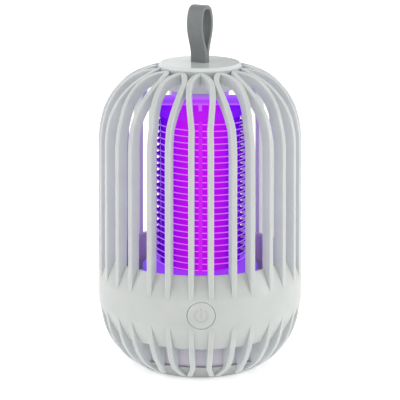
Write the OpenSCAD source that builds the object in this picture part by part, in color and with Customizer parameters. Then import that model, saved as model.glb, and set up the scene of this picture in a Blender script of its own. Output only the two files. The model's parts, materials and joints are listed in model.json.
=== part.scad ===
// Rechargeable bug zapper lantern: a ribbed cage around an ultraviolet lamp and a
// high-voltage wire grid, with a bowl for the electronics, a pull-off insect tray,
// a push button and a silicone hanging strap.
// Z is up, the origin is the centre of the foot, and the button faces -Y.
// Azimuths are counted from the front (-Y) towards the right (+X).

/* [Cage] */
// Radius of the cage at its shoulder
shoulder_r = 59.1; // [58.6:0.1:59.4]
// Height of the shoulder, where the crown begins
shoulder_z = 131.3; // [128:0.1:133]
// Radius of the cage at the bottom of its straight part
waist_r = 60.1; // [59.8:0.1:60.4]
// Height of the bottom of the straight part
waist_z = 45.3; // [44:0.1:46]
// Height that the crown curve climbs to
crown_z = 177.8; // [177:0.1:178.5]
// Number of arches around the cage
arch_count = 15; // [13:1:15]
// Width of a rib, along the cage
rib_w = 3.0; // [2.6:0.1:3]
// Depth of a rib, towards the inside
rib_depth = 6.3; // [5.5:0.1:6.4]
// Azimuth of each rib from the middle of its arch, along the straight part
rib_angle = 5.5; // [5:0.1:6]

/* [Cap and strap] */
// Height of the top of the cap disc
cap_top_z = 179.7; // [179.5:0.1:180.5]
// Radius of the flat top of the cap disc
cap_r = 22.9; // [22:0.1:23]
// Width of the strap
strap_w = 9.8; // [8:0.1:10.5]
// Thickness of the strap
strap_t = 2.3; // [1.8:0.1:2.4]
// Height of the strap loop above the cap
strap_h = 33; // [30:0.5:36]
// Largest depth of the strap loop, outside to outside
strap_depth = 13.6; // [12:0.1:15]
// Turn of the strap about the vertical
strap_yaw = -32; // [-45:1:45]

/* [Bowl] */
// Height of the top rim of the band
band_top_z = 66.9; // [65:0.1:68]
// Height of the parting line between the cage and the tray
parting_z = 23; // [22.5:0.1:23.5]
// Radius of the inner wall of the bowl
liner_r = 52.2; // [51.8:0.1:52.4]
// Radius of the electronics drum
drum_r = 39.4; // [39:0.1:39.8]
// Height of the top of the electronics drum
drum_top_z = 50; // [49.8:0.1:50.2]

/* [Lamp and grid] */
// Radius of the lamp tube
lamp_r = 23; // [22.6:0.1:23.4]
// Height of the top of the lamp tube
lamp_top_z = 153.5; // [152:0.1:155]
// Radius of the live coil of the grid
live_r = 27; // [26.9:0.1:27.4]
// Radius of the earthed coil of the grid
earth_r = 26.5; // [26.3:0.1:26.6]
// Radius of the grid wire
wire_r = 0.35; // [0.3:0.01:0.4]
// Number of turns of each coil
turn_count = 12; // [8:1:12]
// Rise from a turn of one coil to the next turn of the other
wire_pitch = 3.74; // [3.4:0.01:3.75]

/* [Button] */
// Radius of the button
button_r = 7.85; // [7:0.05:8]
// Height of the middle of the button
button_z = 45.2; // [44.5:0.1:46]

/* [Hidden] */
$fn = 96;

// Cage outline
arch_pitch = 360 / arch_count;
crown_pole_r = 17;      // radius at which the crown curve would go level
crown_power = 2.31;     // fullness of the crown curve
bowl_pole_r = 10.8;     // radius at which the bowl curve would go level
bowl_pole_z = -4.55;    // height at which the bowl curve would go level
bowl_power = 2.39;      // fullness of the bowl curve
bend_r = 56.5;          // radius at which the ribs start to spread on the crown
kiss_r = 39;            // radius at which ribs of neighbouring arches all but touch
kiss_angle = 9.5;       // azimuth of a rib from the middle of its arch, there
apex_r = 26;            // radius of the top of an arch
fin_turn_z = 10;        // height below which the tray fins spread
fin_foot_angle = 9.55;  // azimuth of a fin from the middle of its arch, at the foot

// Cap and hub
cap_bottom_z = 177.3;
cap_edge_r = 24;
hub_r = 24.4;
hub_bottom_z = 170.6;
hub_wall = 2.2;
hub_plate = 2;
cone_rim_r = 20.1;
cone_rim_z = 164.6;
neck_r = 16.7;
neck_bottom_z = 160.5;
neck_wall = 1.5;

// Strap
pivot_r = 2.45;                        // radius of the strap's pinched foot
pivot_gap = 0.3;
pivot_z = cap_top_z + pivot_r + pivot_gap;
slot_gap = 0.1;
strap_bar_z = 172.9;
strap_bar_len = 16;

// Band
flush_top_z = 54.5;     // the band hides the ribs between these two heights
flush_bottom_z = 37.5;
band_proud = 0.15;
band_power = 1.6;
band_top_recess = 4.85;
band_bottom_recess = 4.05;
band_wall = 2;
rib_root = 0.8;         // how far a rib is rooted in the band
liner_wall = 1.4;
liner_bottom_z = 32;
liner_top_z = 65;
funnel_wall = 1.4;
collar_r = 44.05;
collar_z = 23.2;

// Drum
drum_wall = 1.5;
drum_floor_z = 27;
drum_chamfer_r = 37;
drum_chamfer_z = 31;
plate = 2;

// Bridges between the bowl and the drum
bridge_w = 21;
bridge_wall = 1.5;
front_bridge_z = [35.6, 54.4];
rear_bridge_z = [38, 52];

// Lamp and grid
turret_r = 34;
turret_top_z = 59;
grid_z = 62;
bus_r = 0.45;
post_w = 2.2;
post_r = 27.7;          // outer radius of the posts, which the wires run through
sleeve_r = 24.9;        // outer radius of the lamp cap's skirt
sleeve_bottom_z = 150.3;
lamp_cap_t = 0.9;
grip_half = 24.6;       // half the width of the grip across the lamp cap
grip_t = 2.4;
grip_h = 5.8;
comb_r = 27.6;          // radius of the tips of the combs' teeth
comb_root_r = 23.5;     // radius of the notches between the teeth
comb_waist_r = 24.4;    // radius at which a tooth's sides steepen
comb_t = 1.6;

// Electronics
battery_r = 9.2;
battery_len = 65;
battery_y = 6;
battery_z = 37.9;
board_t = 1.6;
board_z = 28.6;

// Tray
cup_r = 43.8;
cup_wall = 1.4;
cup_top_z = 22.6;
pan_top_r = 46;
pan_top_z = 9.5;
pan_foot_r = 37.9;
pan_foot_z = 1.6;
pan_wall = 1.8;
step = 0.01;

// Radius of the cage's outer surface at a height
function cage_r(z) =
    z > shoulder_z
        ? crown_pole_r + (shoulder_r - crown_pole_r)
            * pow(1 - pow((z - shoulder_z) / (crown_z - shoulder_z), crown_power), 1 / crown_power)
        : z > waist_z
            ? waist_r + (shoulder_r - waist_r) * (z - waist_z) / (shoulder_z - waist_z)
            : bowl_pole_r + (waist_r - bowl_pole_r)
                * pow(1 - pow((waist_z - z) / (waist_z - bowl_pole_z), bowl_power), 1 / bowl_power);

// Height of the crown's outer surface at a radius
function crown_height(r) =
    shoulder_z + (crown_z - shoulder_z)
        * pow(1 - pow((r - crown_pole_r) / (shoulder_r - crown_pole_r), crown_power), 1 / crown_power);

// Radius of the band's outer surface at a height
function band_outer_r(z) =
    cage_r(z) + band_proud - (z > flush_top_z
        ? band_top_recess * pow((z - flush_top_z) / (band_top_z - flush_top_z), band_power)
        : z < flush_bottom_z
            ? band_bottom_recess * pow((flush_bottom_z - z) / (flush_bottom_z - parting_z), band_power)
            : 0);

// Point at a radius, an azimuth and a height
function at(r, azimuth, z) = [r * sin(azimuth), -r * cos(azimuth), z];
function unit(v) = v / norm(v);

// Azimuth of a rib from the middle of its arch, on the crown, at a radius
function spread(r) =
    r > bend_r ? rib_angle
        : let (x = (bend_r - r) / (bend_r - kiss_r))
            rib_angle + (kiss_angle - rib_angle) * x * (3 - x) / 2;

// Stations of half an arch, from its root in the band to the apex: [radius, azimuth, height]
leg_heights = [flush_top_z - 1, 57, 60, 63.5, band_top_z, 80, 106, shoulder_z];
crown_heights = [for (z = [136:4:148]) z];
crown_radii = [for (r = [bend_r:-3.5:kiss_r + 1]) r];
lobe_steps = 7;
lobe_end = 76;          // angle that a lobe turns through before it meets its mirror image
half_arch = concat(
    [for (z = leg_heights) [cage_r(z), rib_angle, z]],
    [for (z = crown_heights) [cage_r(z), rib_angle, z]],
    [for (r = crown_radii) [r, spread(r), crown_height(r)]],
    [for (i = [0:lobe_steps])
        let (a = lobe_end * i / lobe_steps, r = kiss_r - (kiss_r - apex_r) * sin(a) / sin(lobe_end))
            [r, kiss_angle * (cos(a) - cos(lobe_end)) / (1 - cos(lobe_end)), crown_height(r)]]);
full_arch = concat(
    [for (s = half_arch) [s[0], -s[1], s[2]]],
    [for (i = [len(half_arch) - 2:-1:0]) half_arch[i]]);

// Stations of a rib below the middle of the band
stub_heights = [parting_z + 0.05, 25.5, 28, 31, 34, flush_bottom_z + 1];
function stub(side) = [for (z = stub_heights) [cage_r(z), side * rib_angle, z]];

// Outward normal of the cage at a station: level on the side, square to the crown above it
function outward(s) =
    let (slope = s[2] <= shoulder_z ? [1, 0]
        : unit([crown_height(s[0] - step) - crown_height(s[0] + step), 2 * step]))
        [slope[0] * sin(s[1]), -slope[0] * cos(s[1]), slope[1]];

function depth_at(s) =
    s[2] < band_top_z ? min(rib_depth, cage_r(s[2]) - band_outer_r(s[2]) + rib_root) : rib_depth;

// The four corners of a rib's section at station i of a path
function rib_ring(path, i) =
    let (s = path[i],
        p = at(s[0], s[1], s[2]),
        before = path[max(i - 1, 0)],
        after = path[min(i + 1, len(path) - 1)],
        along = unit(at(after[0], after[1], after[2]) - at(before[0], before[1], before[2])),
        n = outward(s),
        side = unit(cross(along, n)) * rib_w / 2,
        inward = -n * depth_at(s))
        [p + side, p - side, p - side + inward, p + side + inward];

// Closed solid through a list of rings with equally many corners
module loft(rings) {
    count = len(rings);
    size = len(rings[0]);
    polyhedron(
        points = [for (ring = rings) each ring],
        faces = concat(
            [[for (k = [0:size - 1]) k]],
            [for (i = [0:count - 2], k = [0:size - 1])
                let (a = size * i + k, b = size * i + (k + 1) % size)
                    [a, a + size, b + size, b]],
            [[for (k = [1:size]) size * count - k]]),
        convexity = 6);
}

module ring(inner, outer, low, high) {
    rotate_extrude() translate([inner, low]) square([outer - inner, high - low]);
}

module tube_on_y(inner, outer, low, high) {
    rotate([-90, 0, 0]) difference() {
        translate([0, 0, low]) cylinder(r = outer, h = high - low);
        translate([0, 0, low - 1]) cylinder(r = inner, h = high - low + 2);
    }
}

module box(low, high) {
    translate(low) cube(high - low);
}

// A screw with its head down, its tip at the top
module screw(x, y, low, length, shank_r, head_r, head_h) {
    translate([x, y, low]) difference() {
        union() {
            cylinder(r = head_r, h = head_h);
            cylinder(r = shank_r, h = length);
        }
        translate([0, 0, -1]) cylinder(r = shank_r, h = 1 + head_h / 2, $fn = 6);
    }
}

// Places children at equal azimuths on a circle
module around(count, radius, first = 0) {
    for (i = [0:count - 1])
        translate(at(radius, first + i * 360 / count, 0)) children();
}

// ---- Cage ----

module cage_arches() {
    color([0.84, 0.86, 0.85])
        for (i = [0:arch_count - 1])
            rotate([0, 0, i * arch_pitch])
                loft([for (k = [0:len(full_arch) - 1]) rib_ring(full_arch, k)]);
}

module bowl_ribs() {
    color([0.84, 0.86, 0.85])
        for (i = [0:arch_count - 1], side = [-1, 1])
            rotate([0, 0, i * arch_pitch])
                loft([for (k = [0:len(stub_heights) - 1]) rib_ring(stub(side), k)]);
}

band_heights = [for (i = [0:20]) parting_z + (band_top_z - parting_z) * i / 20];

module band_outside() {
    rotate_extrude() polygon(concat(
        [[0, parting_z]],
        [for (z = band_heights) [band_outer_r(z), z]],
        [[0, band_top_z]]));
}

module cage_band() {
    color([0.82, 0.84, 0.83]) difference() {
        band_outside();
        rotate_extrude() polygon(concat(
            [[0, parting_z - 1], [band_outer_r(parting_z) - band_wall, parting_z - 1]],
            [for (z = band_heights) [band_outer_r(z) - band_wall, z]],
            [[band_outer_r(band_top_z) - band_wall, band_top_z + 1], [0, band_top_z + 1]]));
        translate([0, -70, button_z]) rotate([-90, 0, 0]) cylinder(r = button_r + 0.25, h = 20);
        box([-6.5, 50, button_z - 3.5], [6.5, 70, button_z + 3.5]);
    }
}

module cage_hub() {
    color([0.84, 0.86, 0.85]) difference() {
        rotate_extrude() polygon([
            [0, cap_bottom_z], [hub_r, cap_bottom_z], [hub_r, hub_bottom_z],
            [hub_r - hub_wall, hub_bottom_z], [hub_r - hub_wall, cap_bottom_z - hub_plate],
            [0, cap_bottom_z - hub_plate]]);
        strap_slot(slot_gap);
        strap_frame() for (x = [-11, 11])
            translate([x, 0, cap_bottom_z - hub_plate - 1]) cylinder(r = 0.95, h = 2.4);
    }
}

// Closed cone with a neck, that hides the strap's clamp from below
module hub_cone() {
    color([0.78, 0.78, 0.8]) rotate_extrude() polygon([
        [0, neck_bottom_z], [neck_r, neck_bottom_z], [neck_r, cone_rim_z],
        [cone_rim_r, cone_rim_z], [hub_r, hub_bottom_z], [hub_r - hub_wall, hub_bottom_z],
        [cone_rim_r - 1.2, cone_rim_z + 1.6], [neck_r - neck_wall, cone_rim_z + 1.6],
        [neck_r - neck_wall, neck_bottom_z + 1.6], [0, neck_bottom_z + 1.6]]);
}

module cap_disc() {
    color([0.88, 0.9, 0.9]) difference() {
        rotate_extrude() polygon([
            [0, cap_bottom_z], [cap_edge_r - 0.4, cap_bottom_z], [cap_edge_r, cap_bottom_z + 0.4],
            [cap_r + 0.35, cap_top_z - 0.5], [cap_r - 0.2, cap_top_z], [0, cap_top_z]]);
        strap_slot(slot_gap);
    }
}

// ---- Strap, drawn in its own turned frame: width along X, loop depth along Y ----

module strap_frame() {
    rotate([0, 0, strap_yaw]) children();
}

module strap_slot(gap) {
    strap_frame() box(
        [-strap_w / 2 - gap, -pivot_r - gap, hub_bottom_z],
        [strap_w / 2 + gap, pivot_r + gap, cap_top_z + 1]);
}

loop_bottom = pivot_z;
loop_top = cap_top_z + strap_h;
loop_belly = loop_bottom + (loop_top - loop_bottom) * 0.62;

// Half depth of the loop's outside at a height
function loop_half(z) =
    z < loop_belly
        ? pivot_r + (strap_depth / 2 - pivot_r)
            * (1 - cos(180 * (z - loop_bottom) / (loop_belly - loop_bottom))) / 2
        : strap_depth / 2 * pow(1 - pow((z - loop_belly) / (loop_top - loop_belly), 2.5), 1 / 2.5);

// One side of a closed outline that is mirrored to its other side
function mirrored(side) = concat(side, [for (i = [len(side) - 1:-1:0]) [-side[i][0], side[i][1]]]);

loop_steps = 12;
eye_bottom = cap_top_z + 5;
eye_top = loop_top - strap_t;
outer_side = concat(
    [for (i = [0:loop_steps]) let (z = loop_bottom + (loop_belly - loop_bottom) * i / loop_steps)
        [loop_half(z), z]],
    [for (i = [1:loop_steps]) let (z = loop_belly + (loop_top - loop_belly) * sin(90 * i / loop_steps))
        [max(loop_half(z), 0.01), z]]);
eye_half = strap_depth / 2 - strap_t;
eye_side = concat(
    [for (i = [0:loop_steps]) let (z = eye_bottom + (loop_belly - eye_bottom) * i / loop_steps)
        [max(loop_half(z) - strap_t, 0.05), z]],
    [for (i = [1:loop_steps]) let (a = 90 * i / loop_steps)
        [max(eye_half * pow(cos(a), 0.8), 0.01), loop_belly + (eye_top - loop_belly) * pow(sin(a), 0.8)]]);

module strap_loop() {
    color([0.46, 0.48, 0.48]) strap_frame()
        translate([-strap_w / 2, 0, 0]) rotate([90, 0, 90]) linear_extrude(strap_w) union() {
            difference() {
                polygon(mirrored(outer_side));
                polygon(mirrored(eye_side));
            }
            translate([0, pivot_z]) circle(r = pivot_r);
        }
}

module strap_root() {
    color([0.44, 0.46, 0.46]) strap_frame() difference() {
        union() {
            box([-strap_w / 2, -pivot_r, strap_bar_z], [strap_w / 2, pivot_r, pivot_z]);
            box([-strap_w / 2, -strap_bar_len / 2, strap_bar_z],
                [strap_w / 2, strap_bar_len / 2, cap_bottom_z - hub_plate]);
        }
        translate([0, 0, pivot_z]) rotate([0, 90, 0])
            cylinder(r = pivot_r + pivot_gap, h = strap_w + 2, center = true);
    }
}

module strap_clamp() {
    color([0.8, 0.8, 0.8]) strap_frame() difference() {
        union() {
            box([-13.5, -4.5, strap_bar_z - 1.5], [13.5, 4.5, strap_bar_z]);
            for (x = [-13.5, 7.5])
                box([x, -4.5, strap_bar_z], [x + 6, 4.5, cap_bottom_z - hub_plate]);
        }
        for (x = [-11, 11]) translate([x, 0, strap_bar_z - 3]) cylinder(r = 1.3, h = 8);
    }
}

module strap_screws() {
    color([0.7, 0.7, 0.72]) strap_frame() for (x = [-11, 11])
        screw(x, 0, strap_bar_z - 2.9, 5.5, 0.9, 1.9, 1.4);
}

// ---- Bowl ----

module bowl_liner() {
    color([0.78, 0.78, 0.8]) difference() {
        ring(liner_r, liner_r + liner_wall, liner_bottom_z, liner_top_z);
        ring(liner_r - 1, liner_r + 0.35, drum_top_z - 0.2, drum_top_z + 0.2);
        translate([0, -60, button_z]) rotate([-90, 0, 0]) cylinder(r = 6.5, h = 15);
        box([-6, 45, button_z - 3], [6, 60, button_z + 3]);
    }
}

module drop_funnel() {
    color([0.78, 0.78, 0.8]) rotate_extrude() polygon([
        [collar_r, collar_z], [collar_r + funnel_wall, collar_z],
        [collar_r + funnel_wall, drum_floor_z - 0.6], [liner_r + liner_wall, liner_bottom_z - 1.4],
        [liner_r + liner_wall, liner_bottom_z], [liner_r, liner_bottom_z],
        [collar_r, drum_floor_z - 0.2]]);
}

module button_sleeve() {
    color([0.75, 0.76, 0.76]) translate([0, 0, button_z]) difference() {
        tube_on_y(button_r + 0.25, button_r + 1.6, -57.2, -54.2);
        rotate_extrude() translate([57.6, -20]) square([10, 40]);
    }
}

// Part of a bridge that lies between the drum and the bowl's inner wall
module between_walls(low, high) {
    intersection() {
        children();
        ring(drum_r, liner_r, low, high);
    }
}

module front_bridge() {
    color([0.76, 0.76, 0.78]) between_walls(front_bridge_z[0], front_bridge_z[1]) difference() {
        box([-bridge_w / 2, -60, front_bridge_z[0]], [bridge_w / 2, -30, front_bridge_z[1]]);
        box([-bridge_w / 2 + bridge_wall, -61, front_bridge_z[0] + bridge_wall],
            [bridge_w / 2 - bridge_wall, -29, front_bridge_z[1] - bridge_wall]);
    }
}

module rear_bridge() {
    color([0.76, 0.76, 0.78]) between_walls(rear_bridge_z[0], rear_bridge_z[1]) difference() {
        box([-bridge_w / 2, 30, rear_bridge_z[0]], [bridge_w / 2, 60, rear_bridge_z[1]]);
        box([-bridge_w / 2 + bridge_wall, 29, rear_bridge_z[0] + bridge_wall],
            [bridge_w / 2 - bridge_wall, 61, rear_bridge_z[1] - bridge_wall]);
    }
}

module side_spokes() {
    color([0.76, 0.76, 0.78]) for (x = [-1, 1])
        between_walls(34, 46) box([x * 46 - 10, -1.3, 34], [x * 46 + 10, 1.3, 46]);
}

// ---- Electronics drum ----

module drum_shell() {
    color([0.8, 0.8, 0.82]) difference() {
        rotate_extrude() polygon([
            [0, drum_top_z], [drum_r, drum_top_z], [drum_r, drum_chamfer_z],
            [drum_chamfer_r, drum_floor_z], [drum_chamfer_r - drum_wall, drum_floor_z],
            [drum_r - drum_wall, drum_chamfer_z], [drum_r - drum_wall, drum_top_z - plate],
            [0, drum_top_z - plate]]);
        box([-8, -45, front_bridge_z[0] + 3], [8, -30, 46]);
        box([-8, 30, rear_bridge_z[0] + 3], [8, 45, 46]);
        around(3, 30, 60) translate([0, 0, drum_top_z - plate - 1]) cylinder(r = 1.3, h = 4);
        bus_holes(drum_top_z - plate - 1, drum_top_z + 1);
        translate([0, 0, drum_top_z - 3]) cylinder(r = 4, h = 4);
    }
}

module drum_floor() {
    color([0.72, 0.72, 0.75]) difference() {
        union() {
            translate([0, 0, drum_floor_z - 2]) cylinder(r = drum_chamfer_r, h = 2);
            around(3, 33, 0) translate([0, 0, drum_floor_z - 0.5]) cylinder(r = 2.2, h = 3.5);
        }
        around(3, 33, 0) translate([0, 0, drum_floor_z - 3]) cylinder(r = 1.1, h = 8);
    }
}

module floor_screws() {
    color([0.7, 0.7, 0.72])
        around(3, 33, 0) screw(0, 0, drum_floor_z - 3.4, 6.5, 0.95, 2, 1.4);
}

// ---- Lamp and grid ----

bus_live_at = [180 - 24, live_r + wire_r + bus_r];
bus_earth_at = [180 + 24, earth_r - wire_r - bus_r - 0.24];

module bus_holes(low, high) {
    for (bus = [bus_live_at, bus_earth_at])
        translate(at(bus[1], bus[0], low)) cylinder(r = bus_r + 0.1, h = high - low);
}

module turret() {
    color([0.66, 0.52, 0.98]) difference() {
        rotate_extrude() polygon([
            [lamp_r - 3, drum_top_z], [turret_r, drum_top_z], [turret_r, turret_top_z - 2.4],
            [turret_r - 0.4, turret_top_z - 1.2], [turret_r - 1.2, turret_top_z - 0.4],
            [turret_r - 2.4, turret_top_z],
            [turret_r - 3, turret_top_z], [turret_r - 3, turret_top_z - 0.5],
            [turret_r - 3.5, turret_top_z - 0.5], [turret_r - 3.5, turret_top_z],
            [lamp_r - 3, turret_top_z]]);
        around(3, 30, 60) translate([0, 0, drum_top_z - 1]) cylinder(r = 0.9, h = 6);
        bus_holes(drum_top_z - 1, turret_top_z + 1);
    }
}

module core_screws() {
    color([0.7, 0.7, 0.72])
        around(3, 30, 60) screw(0, 0, drum_top_z - plate - 1.5, 7, 0.85, 2, 1.4);
}

module lamp_tube() {
    color([0.5, 0.1, 0.95])
        ring(lamp_r - 1.2, lamp_r, turret_top_z, lamp_top_z);
}

module lamp_cap() {
    grip_bottom_z = lamp_top_z + lamp_cap_t;
    color([0.66, 0.45, 0.98]) union() {
        rotate_extrude() polygon([
            [0, lamp_top_z], [lamp_r + 0.05, lamp_top_z], [lamp_r + 0.05, sleeve_bottom_z],
            [sleeve_r, sleeve_bottom_z], [sleeve_r, grip_bottom_z - 0.3],
            [sleeve_r - 0.3, grip_bottom_z], [0, grip_bottom_z]]);
        box([-grip_half, -grip_t / 2, grip_bottom_z - 0.1],
            [grip_half, grip_t / 2, grip_bottom_z + grip_h]);
        box([-1, -sleeve_r + 5.5, grip_bottom_z - 0.1], [1, 0, grip_bottom_z + 0.8]);
        ring(lamp_r - 3, lamp_r - 1.25, lamp_top_z - 4, lamp_top_z + 0.1);
    }
}

module lamp_spine() {
    color([0.8, 0.8, 0.85]) difference() {
        union() {
            box([-5, -3, drum_top_z], [5, 3, lamp_top_z - 4]);
            translate([0, 0, drum_top_z]) cylinder(r = lamp_r - 3.2, h = 2);
        }
        translate([0, 0, drum_top_z - 1]) cylinder(r = 1.8, h = lamp_top_z);
    }
}

board_faces = [0, 180];

module led_boards() {
    color([0.9, 0.9, 0.95]) for (a = board_faces) rotate([0, 0, a])
        box([-5, -4.2, drum_top_z + 6], [5, -3, lamp_top_z - 8]);
}

module uv_leds() {
    color([0.9, 0.8, 1]) for (a = board_faces, i = [0:5]) rotate([0, 0, a])
        box([-1.75, -5.7, 66 + 15 * i], [1.75, -4.2, 69.5 + 15 * i]);
}

module grid_base() {
    color([0.66, 0.5, 0.98]) difference() {
        ring(lamp_r + 0.05, live_r + 2, turret_top_z, turret_top_z + 1.6);
        bus_holes(turret_top_z - 1, turret_top_z + 3);
    }
}

coil_lead = 2 * wire_pitch;
earth_top_z = grid_z + coil_lead * (turn_count - 0.5);
live_top_z = earth_top_z - wire_pitch;
grid_top_z = earth_top_z + 1.6;

module grid_posts() {
    color([0.75, 0.5, 0.98]) for (a = [0, 180]) rotate([0, 0, a]) intersection() {
        box([-post_w / 2, -post_r - 1, turret_top_z + 1.6], [post_w / 2, -lamp_r + 2, grid_top_z]);
        ring(lamp_r + 0.05, post_r, turret_top_z, lamp_top_z);
    }
}

// One tooth of a comb and the notch below it: [share of the wire pitch, radius]
tooth = [[0, comb_root_r], [0.22, comb_waist_r], [0.38, comb_r], [0.62, comb_r], [0.78, comb_waist_r]];

// Combs at the two sides, whose teeth stand between the wires and keep the coils apart
module grid_combs() {
    first = grid_z + wire_pitch / 2;
    gaps = 2 * turn_count - 2;
    teeth = [for (i = [0:gaps - 1], p = tooth) [p[1], first + (i + p[0]) * wire_pitch]];
    color([0.5, 0.2, 0.9]) for (side = [0, 180]) rotate([90, 0, side])
        translate([0, 0, -comb_t / 2]) linear_extrude(comb_t) polygon(concat(
            [[lamp_r + 0.05, turret_top_z + 1.6], [comb_root_r, turret_top_z + 1.6]],
            teeth,
            [[comb_root_r, first + gaps * wire_pitch], [comb_root_r, grid_top_z],
                [lamp_r + 0.05, grid_top_z]]));
}

// Wire wound round the lamp between two azimuths, falling to the right, at front_z at azimuth 0
module coil(radius, front_z, first, last) {
    count = ceil((last - first) / 15);
    loft([for (i = [0:count])
        let (a = first + (last - first) * i / count, z = front_z - coil_lead * a / 360)
            [for (c = [0:60:300]) at(radius + wire_r * cos(c), a, z + wire_r * sin(c))]]);
}

module live_coil() {
    color([0.9, 0.55, 0.98]) coil(live_r, live_top_z, -303, 360 * (turn_count - 1) + 12);
}

module earth_coil() {
    color([0.8, 0.5, 0.98]) coil(earth_r, earth_top_z, -12, 360 * (turn_count - 1) + 150);
}

module bus(place) {
    translate(at(place[1], place[0], drum_top_z - 4))
        cylinder(r = bus_r, h = earth_top_z + 1 - drum_top_z + 4);
}

module live_bus() {
    color([0.8, 0.7, 0.5]) bus(bus_live_at);
}

module earth_bus() {
    color([0.8, 0.7, 0.5]) bus(bus_earth_at);
}

// ---- Electronics ----

module battery_cell() {
    color([0.2, 0.4, 0.75]) translate([0, battery_y, battery_z]) rotate([0, 90, 0]) union() {
        cylinder(r = battery_r, h = battery_len - 1.2, center = true);
        translate([0, 0, battery_len / 2 - 0.7]) cylinder(r = 3, h = 0.7);
    }
}

module battery_holder() {
    color([0.15, 0.15, 0.16]) difference() {
        union() {
            box([-34.6, battery_y - 5, board_z - 1.6], [34.6, battery_y + 5, board_z]);
            for (x = [-34.6, 33.4])
                box([x, battery_y - 5, board_z], [x + 1.2, battery_y + 5, battery_z + 4]);
            for (x = [-20, 18])
                box([x, battery_y - 8, board_z], [x + 2, battery_y + 8, battery_z - 3]);
        }
        translate([0, battery_y, battery_z]) rotate([0, 90, 0])
            cylinder(r = battery_r + 0.1, h = 66.6, center = true);
    }
}

module battery_contacts() {
    color([0.8, 0.8, 0.8])
        for (x = [-33.35, 32.65])
            box([x, battery_y - 3.5, battery_z - 4], [x + 0.6, battery_y + 3.5, battery_z + 3.5]);
}

module main_board() {
    color([0.1, 0.4, 0.2]) difference() {
        box([-20, -30, board_z], [20, -5, board_z + board_t]);
        for (x = [-17.5, 17.5], y = [-27.5, -7.5])
            translate([x, y, board_z - 1]) cylinder(r = 1.1, h = 4);
    }
}

module board_screws() {
    color([0.7, 0.7, 0.72]) for (x = [-17.5, 17.5], y = [-27.5, -7.5])
        translate([x, y, drum_floor_z]) union() {
            cylinder(r = 1, h = board_z + board_t - drum_floor_z);
            translate([0, 0, board_z + board_t - drum_floor_z]) cylinder(r = 2, h = 1.2);
        }
}

module hv_transformer() {
    color([0.75, 0.6, 0.15]) difference() {
        box([-15, -25, board_z + board_t], [1, -11, board_z + board_t + 12]);
        for (y = [-26, -14])
            box([-12, y, board_z + board_t + 3], [-2, y + 4, board_z + board_t + 9]);
    }
}

module hv_capacitors() {
    color([0.1, 0.1, 0.45]) for (y = [-22.5, -13])
        translate([9, y, board_z + board_t]) cylinder(r = 4, h = 12);
}

module board_chips() {
    color([0.1, 0.1, 0.1]) union() {
        box([14.2, -22, board_z + board_t], [18.2, -17, board_z + board_t + 1.5]);
        box([14.2, -15, board_z + board_t], [17.6, -11.6, board_z + board_t + 1.2]);
        box([3, -29, board_z + board_t], [6, -27.4, board_z + board_t + 0.9]);
    }
}

// ---- Switch and charging socket ----

switch_y = -49.6;

module switch_board() {
    color([0.1, 0.4, 0.2])
        box([-8.5, switch_y, 37.6], [8.5, switch_y + board_t, 52.4]);
}

module tact_switch() {
    color([0.12, 0.12, 0.12]) difference() {
        box([-3, switch_y - 3.5, button_z - 3], [3, switch_y, button_z + 3]);
        translate([0, switch_y - 5, button_z]) rotate([-90, 0, 0]) cylinder(r = 1.75, h = 3.6);
    }
}

module button_cap() {
    color([0.84, 0.86, 0.86]) union() {
        intersection() {
            band_outside();
            translate([0, -61, button_z]) rotate([-90, 0, 0]) cylinder(r = button_r, h = 4);
        }
        translate([0, -57.1, button_z]) rotate([-90, 0, 0])
            cylinder(r = 2.2, h = 57.1 + switch_y - 5.2);
    }
}

module button_plunger() {
    color([0.2, 0.2, 0.2]) translate([0, switch_y - 5.2, button_z]) rotate([-90, 0, 0])
        cylinder(r = 1.68, h = 2.6);
}

module usb_outline(inset) {
    for (x = [-1, 1]) translate([x * 2.88, 0]) circle(r = 1.6 - inset);
    square([5.76, 3.2 - 2 * inset], center = true);
}

module usb_socket() {
    color([0.75, 0.75, 0.78]) translate([0, 56.6, button_z]) rotate([90, 0, 0]) union() {
        difference() {
            linear_extrude(7.4) usb_outline(0);
            translate([0, 0, -1]) linear_extrude(7.4) usb_outline(0.3);
        }
        translate([-3.3, -0.35, 0.8]) cube([6.6, 0.7, 6]);
    }
}

module usb_board() {
    color([0.1, 0.4, 0.2])
        box([-8.5, 40.2, button_z - 1.6 - 1.2], [8.5, 51, button_z - 1.6]);
}

module usb_bezel() {
    color([0.8, 0.82, 0.81]) difference() {
        intersection() {
            band_outside();
            box([-6.4, 53.7, button_z - 3.4], [6.4, 61, button_z + 3.4]);
        }
        box([-5.2, 53, button_z - 2.4], [5.2, 62, button_z + 2.4]);
    }
}

// ---- Tray ----

// Azimuth of a fin from the middle of its arch at a height
function fin_angle(z) =
    z > fin_turn_z ? rib_angle
        : rib_angle + (fin_foot_angle - rib_angle)
            * pow((fin_turn_z - z) / (fin_turn_z - pan_foot_z), 1.2);

function pan_outer_r(z) =
    pan_foot_r + (pan_top_r - pan_foot_r) * (z - pan_foot_z) / (pan_top_z - pan_foot_z);

function fin_inner_r(z) = z > pan_top_z - 0.3 ? cup_r + 0.05 : pan_outer_r(z) - 0.5;

function corner(r, azimuth, side, z) = at(r, azimuth + side * asin(rib_w / 2 / r), z);

fin_heights = [
    parting_z - 0.15, 20, 17, 14, fin_turn_z, pan_top_z - 0.2, pan_top_z - 0.35, 7, 5, 3.2, pan_foot_z];

module fin(side) {
    loft([for (z = fin_heights) let (a = side * fin_angle(z), outer = cage_r(z), inner = fin_inner_r(z)) [
        corner(outer, a, -1, z), corner(outer, a, 1, z),
        corner(inner, a, 1, z), corner(inner, a, -1, z)]]);
}

module tray_fins() {
    color([0.84, 0.86, 0.85])
        for (i = [0:arch_count - 1], side = [-1, 1])
            rotate([0, 0, i * arch_pitch]) fin(side);
}

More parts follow.
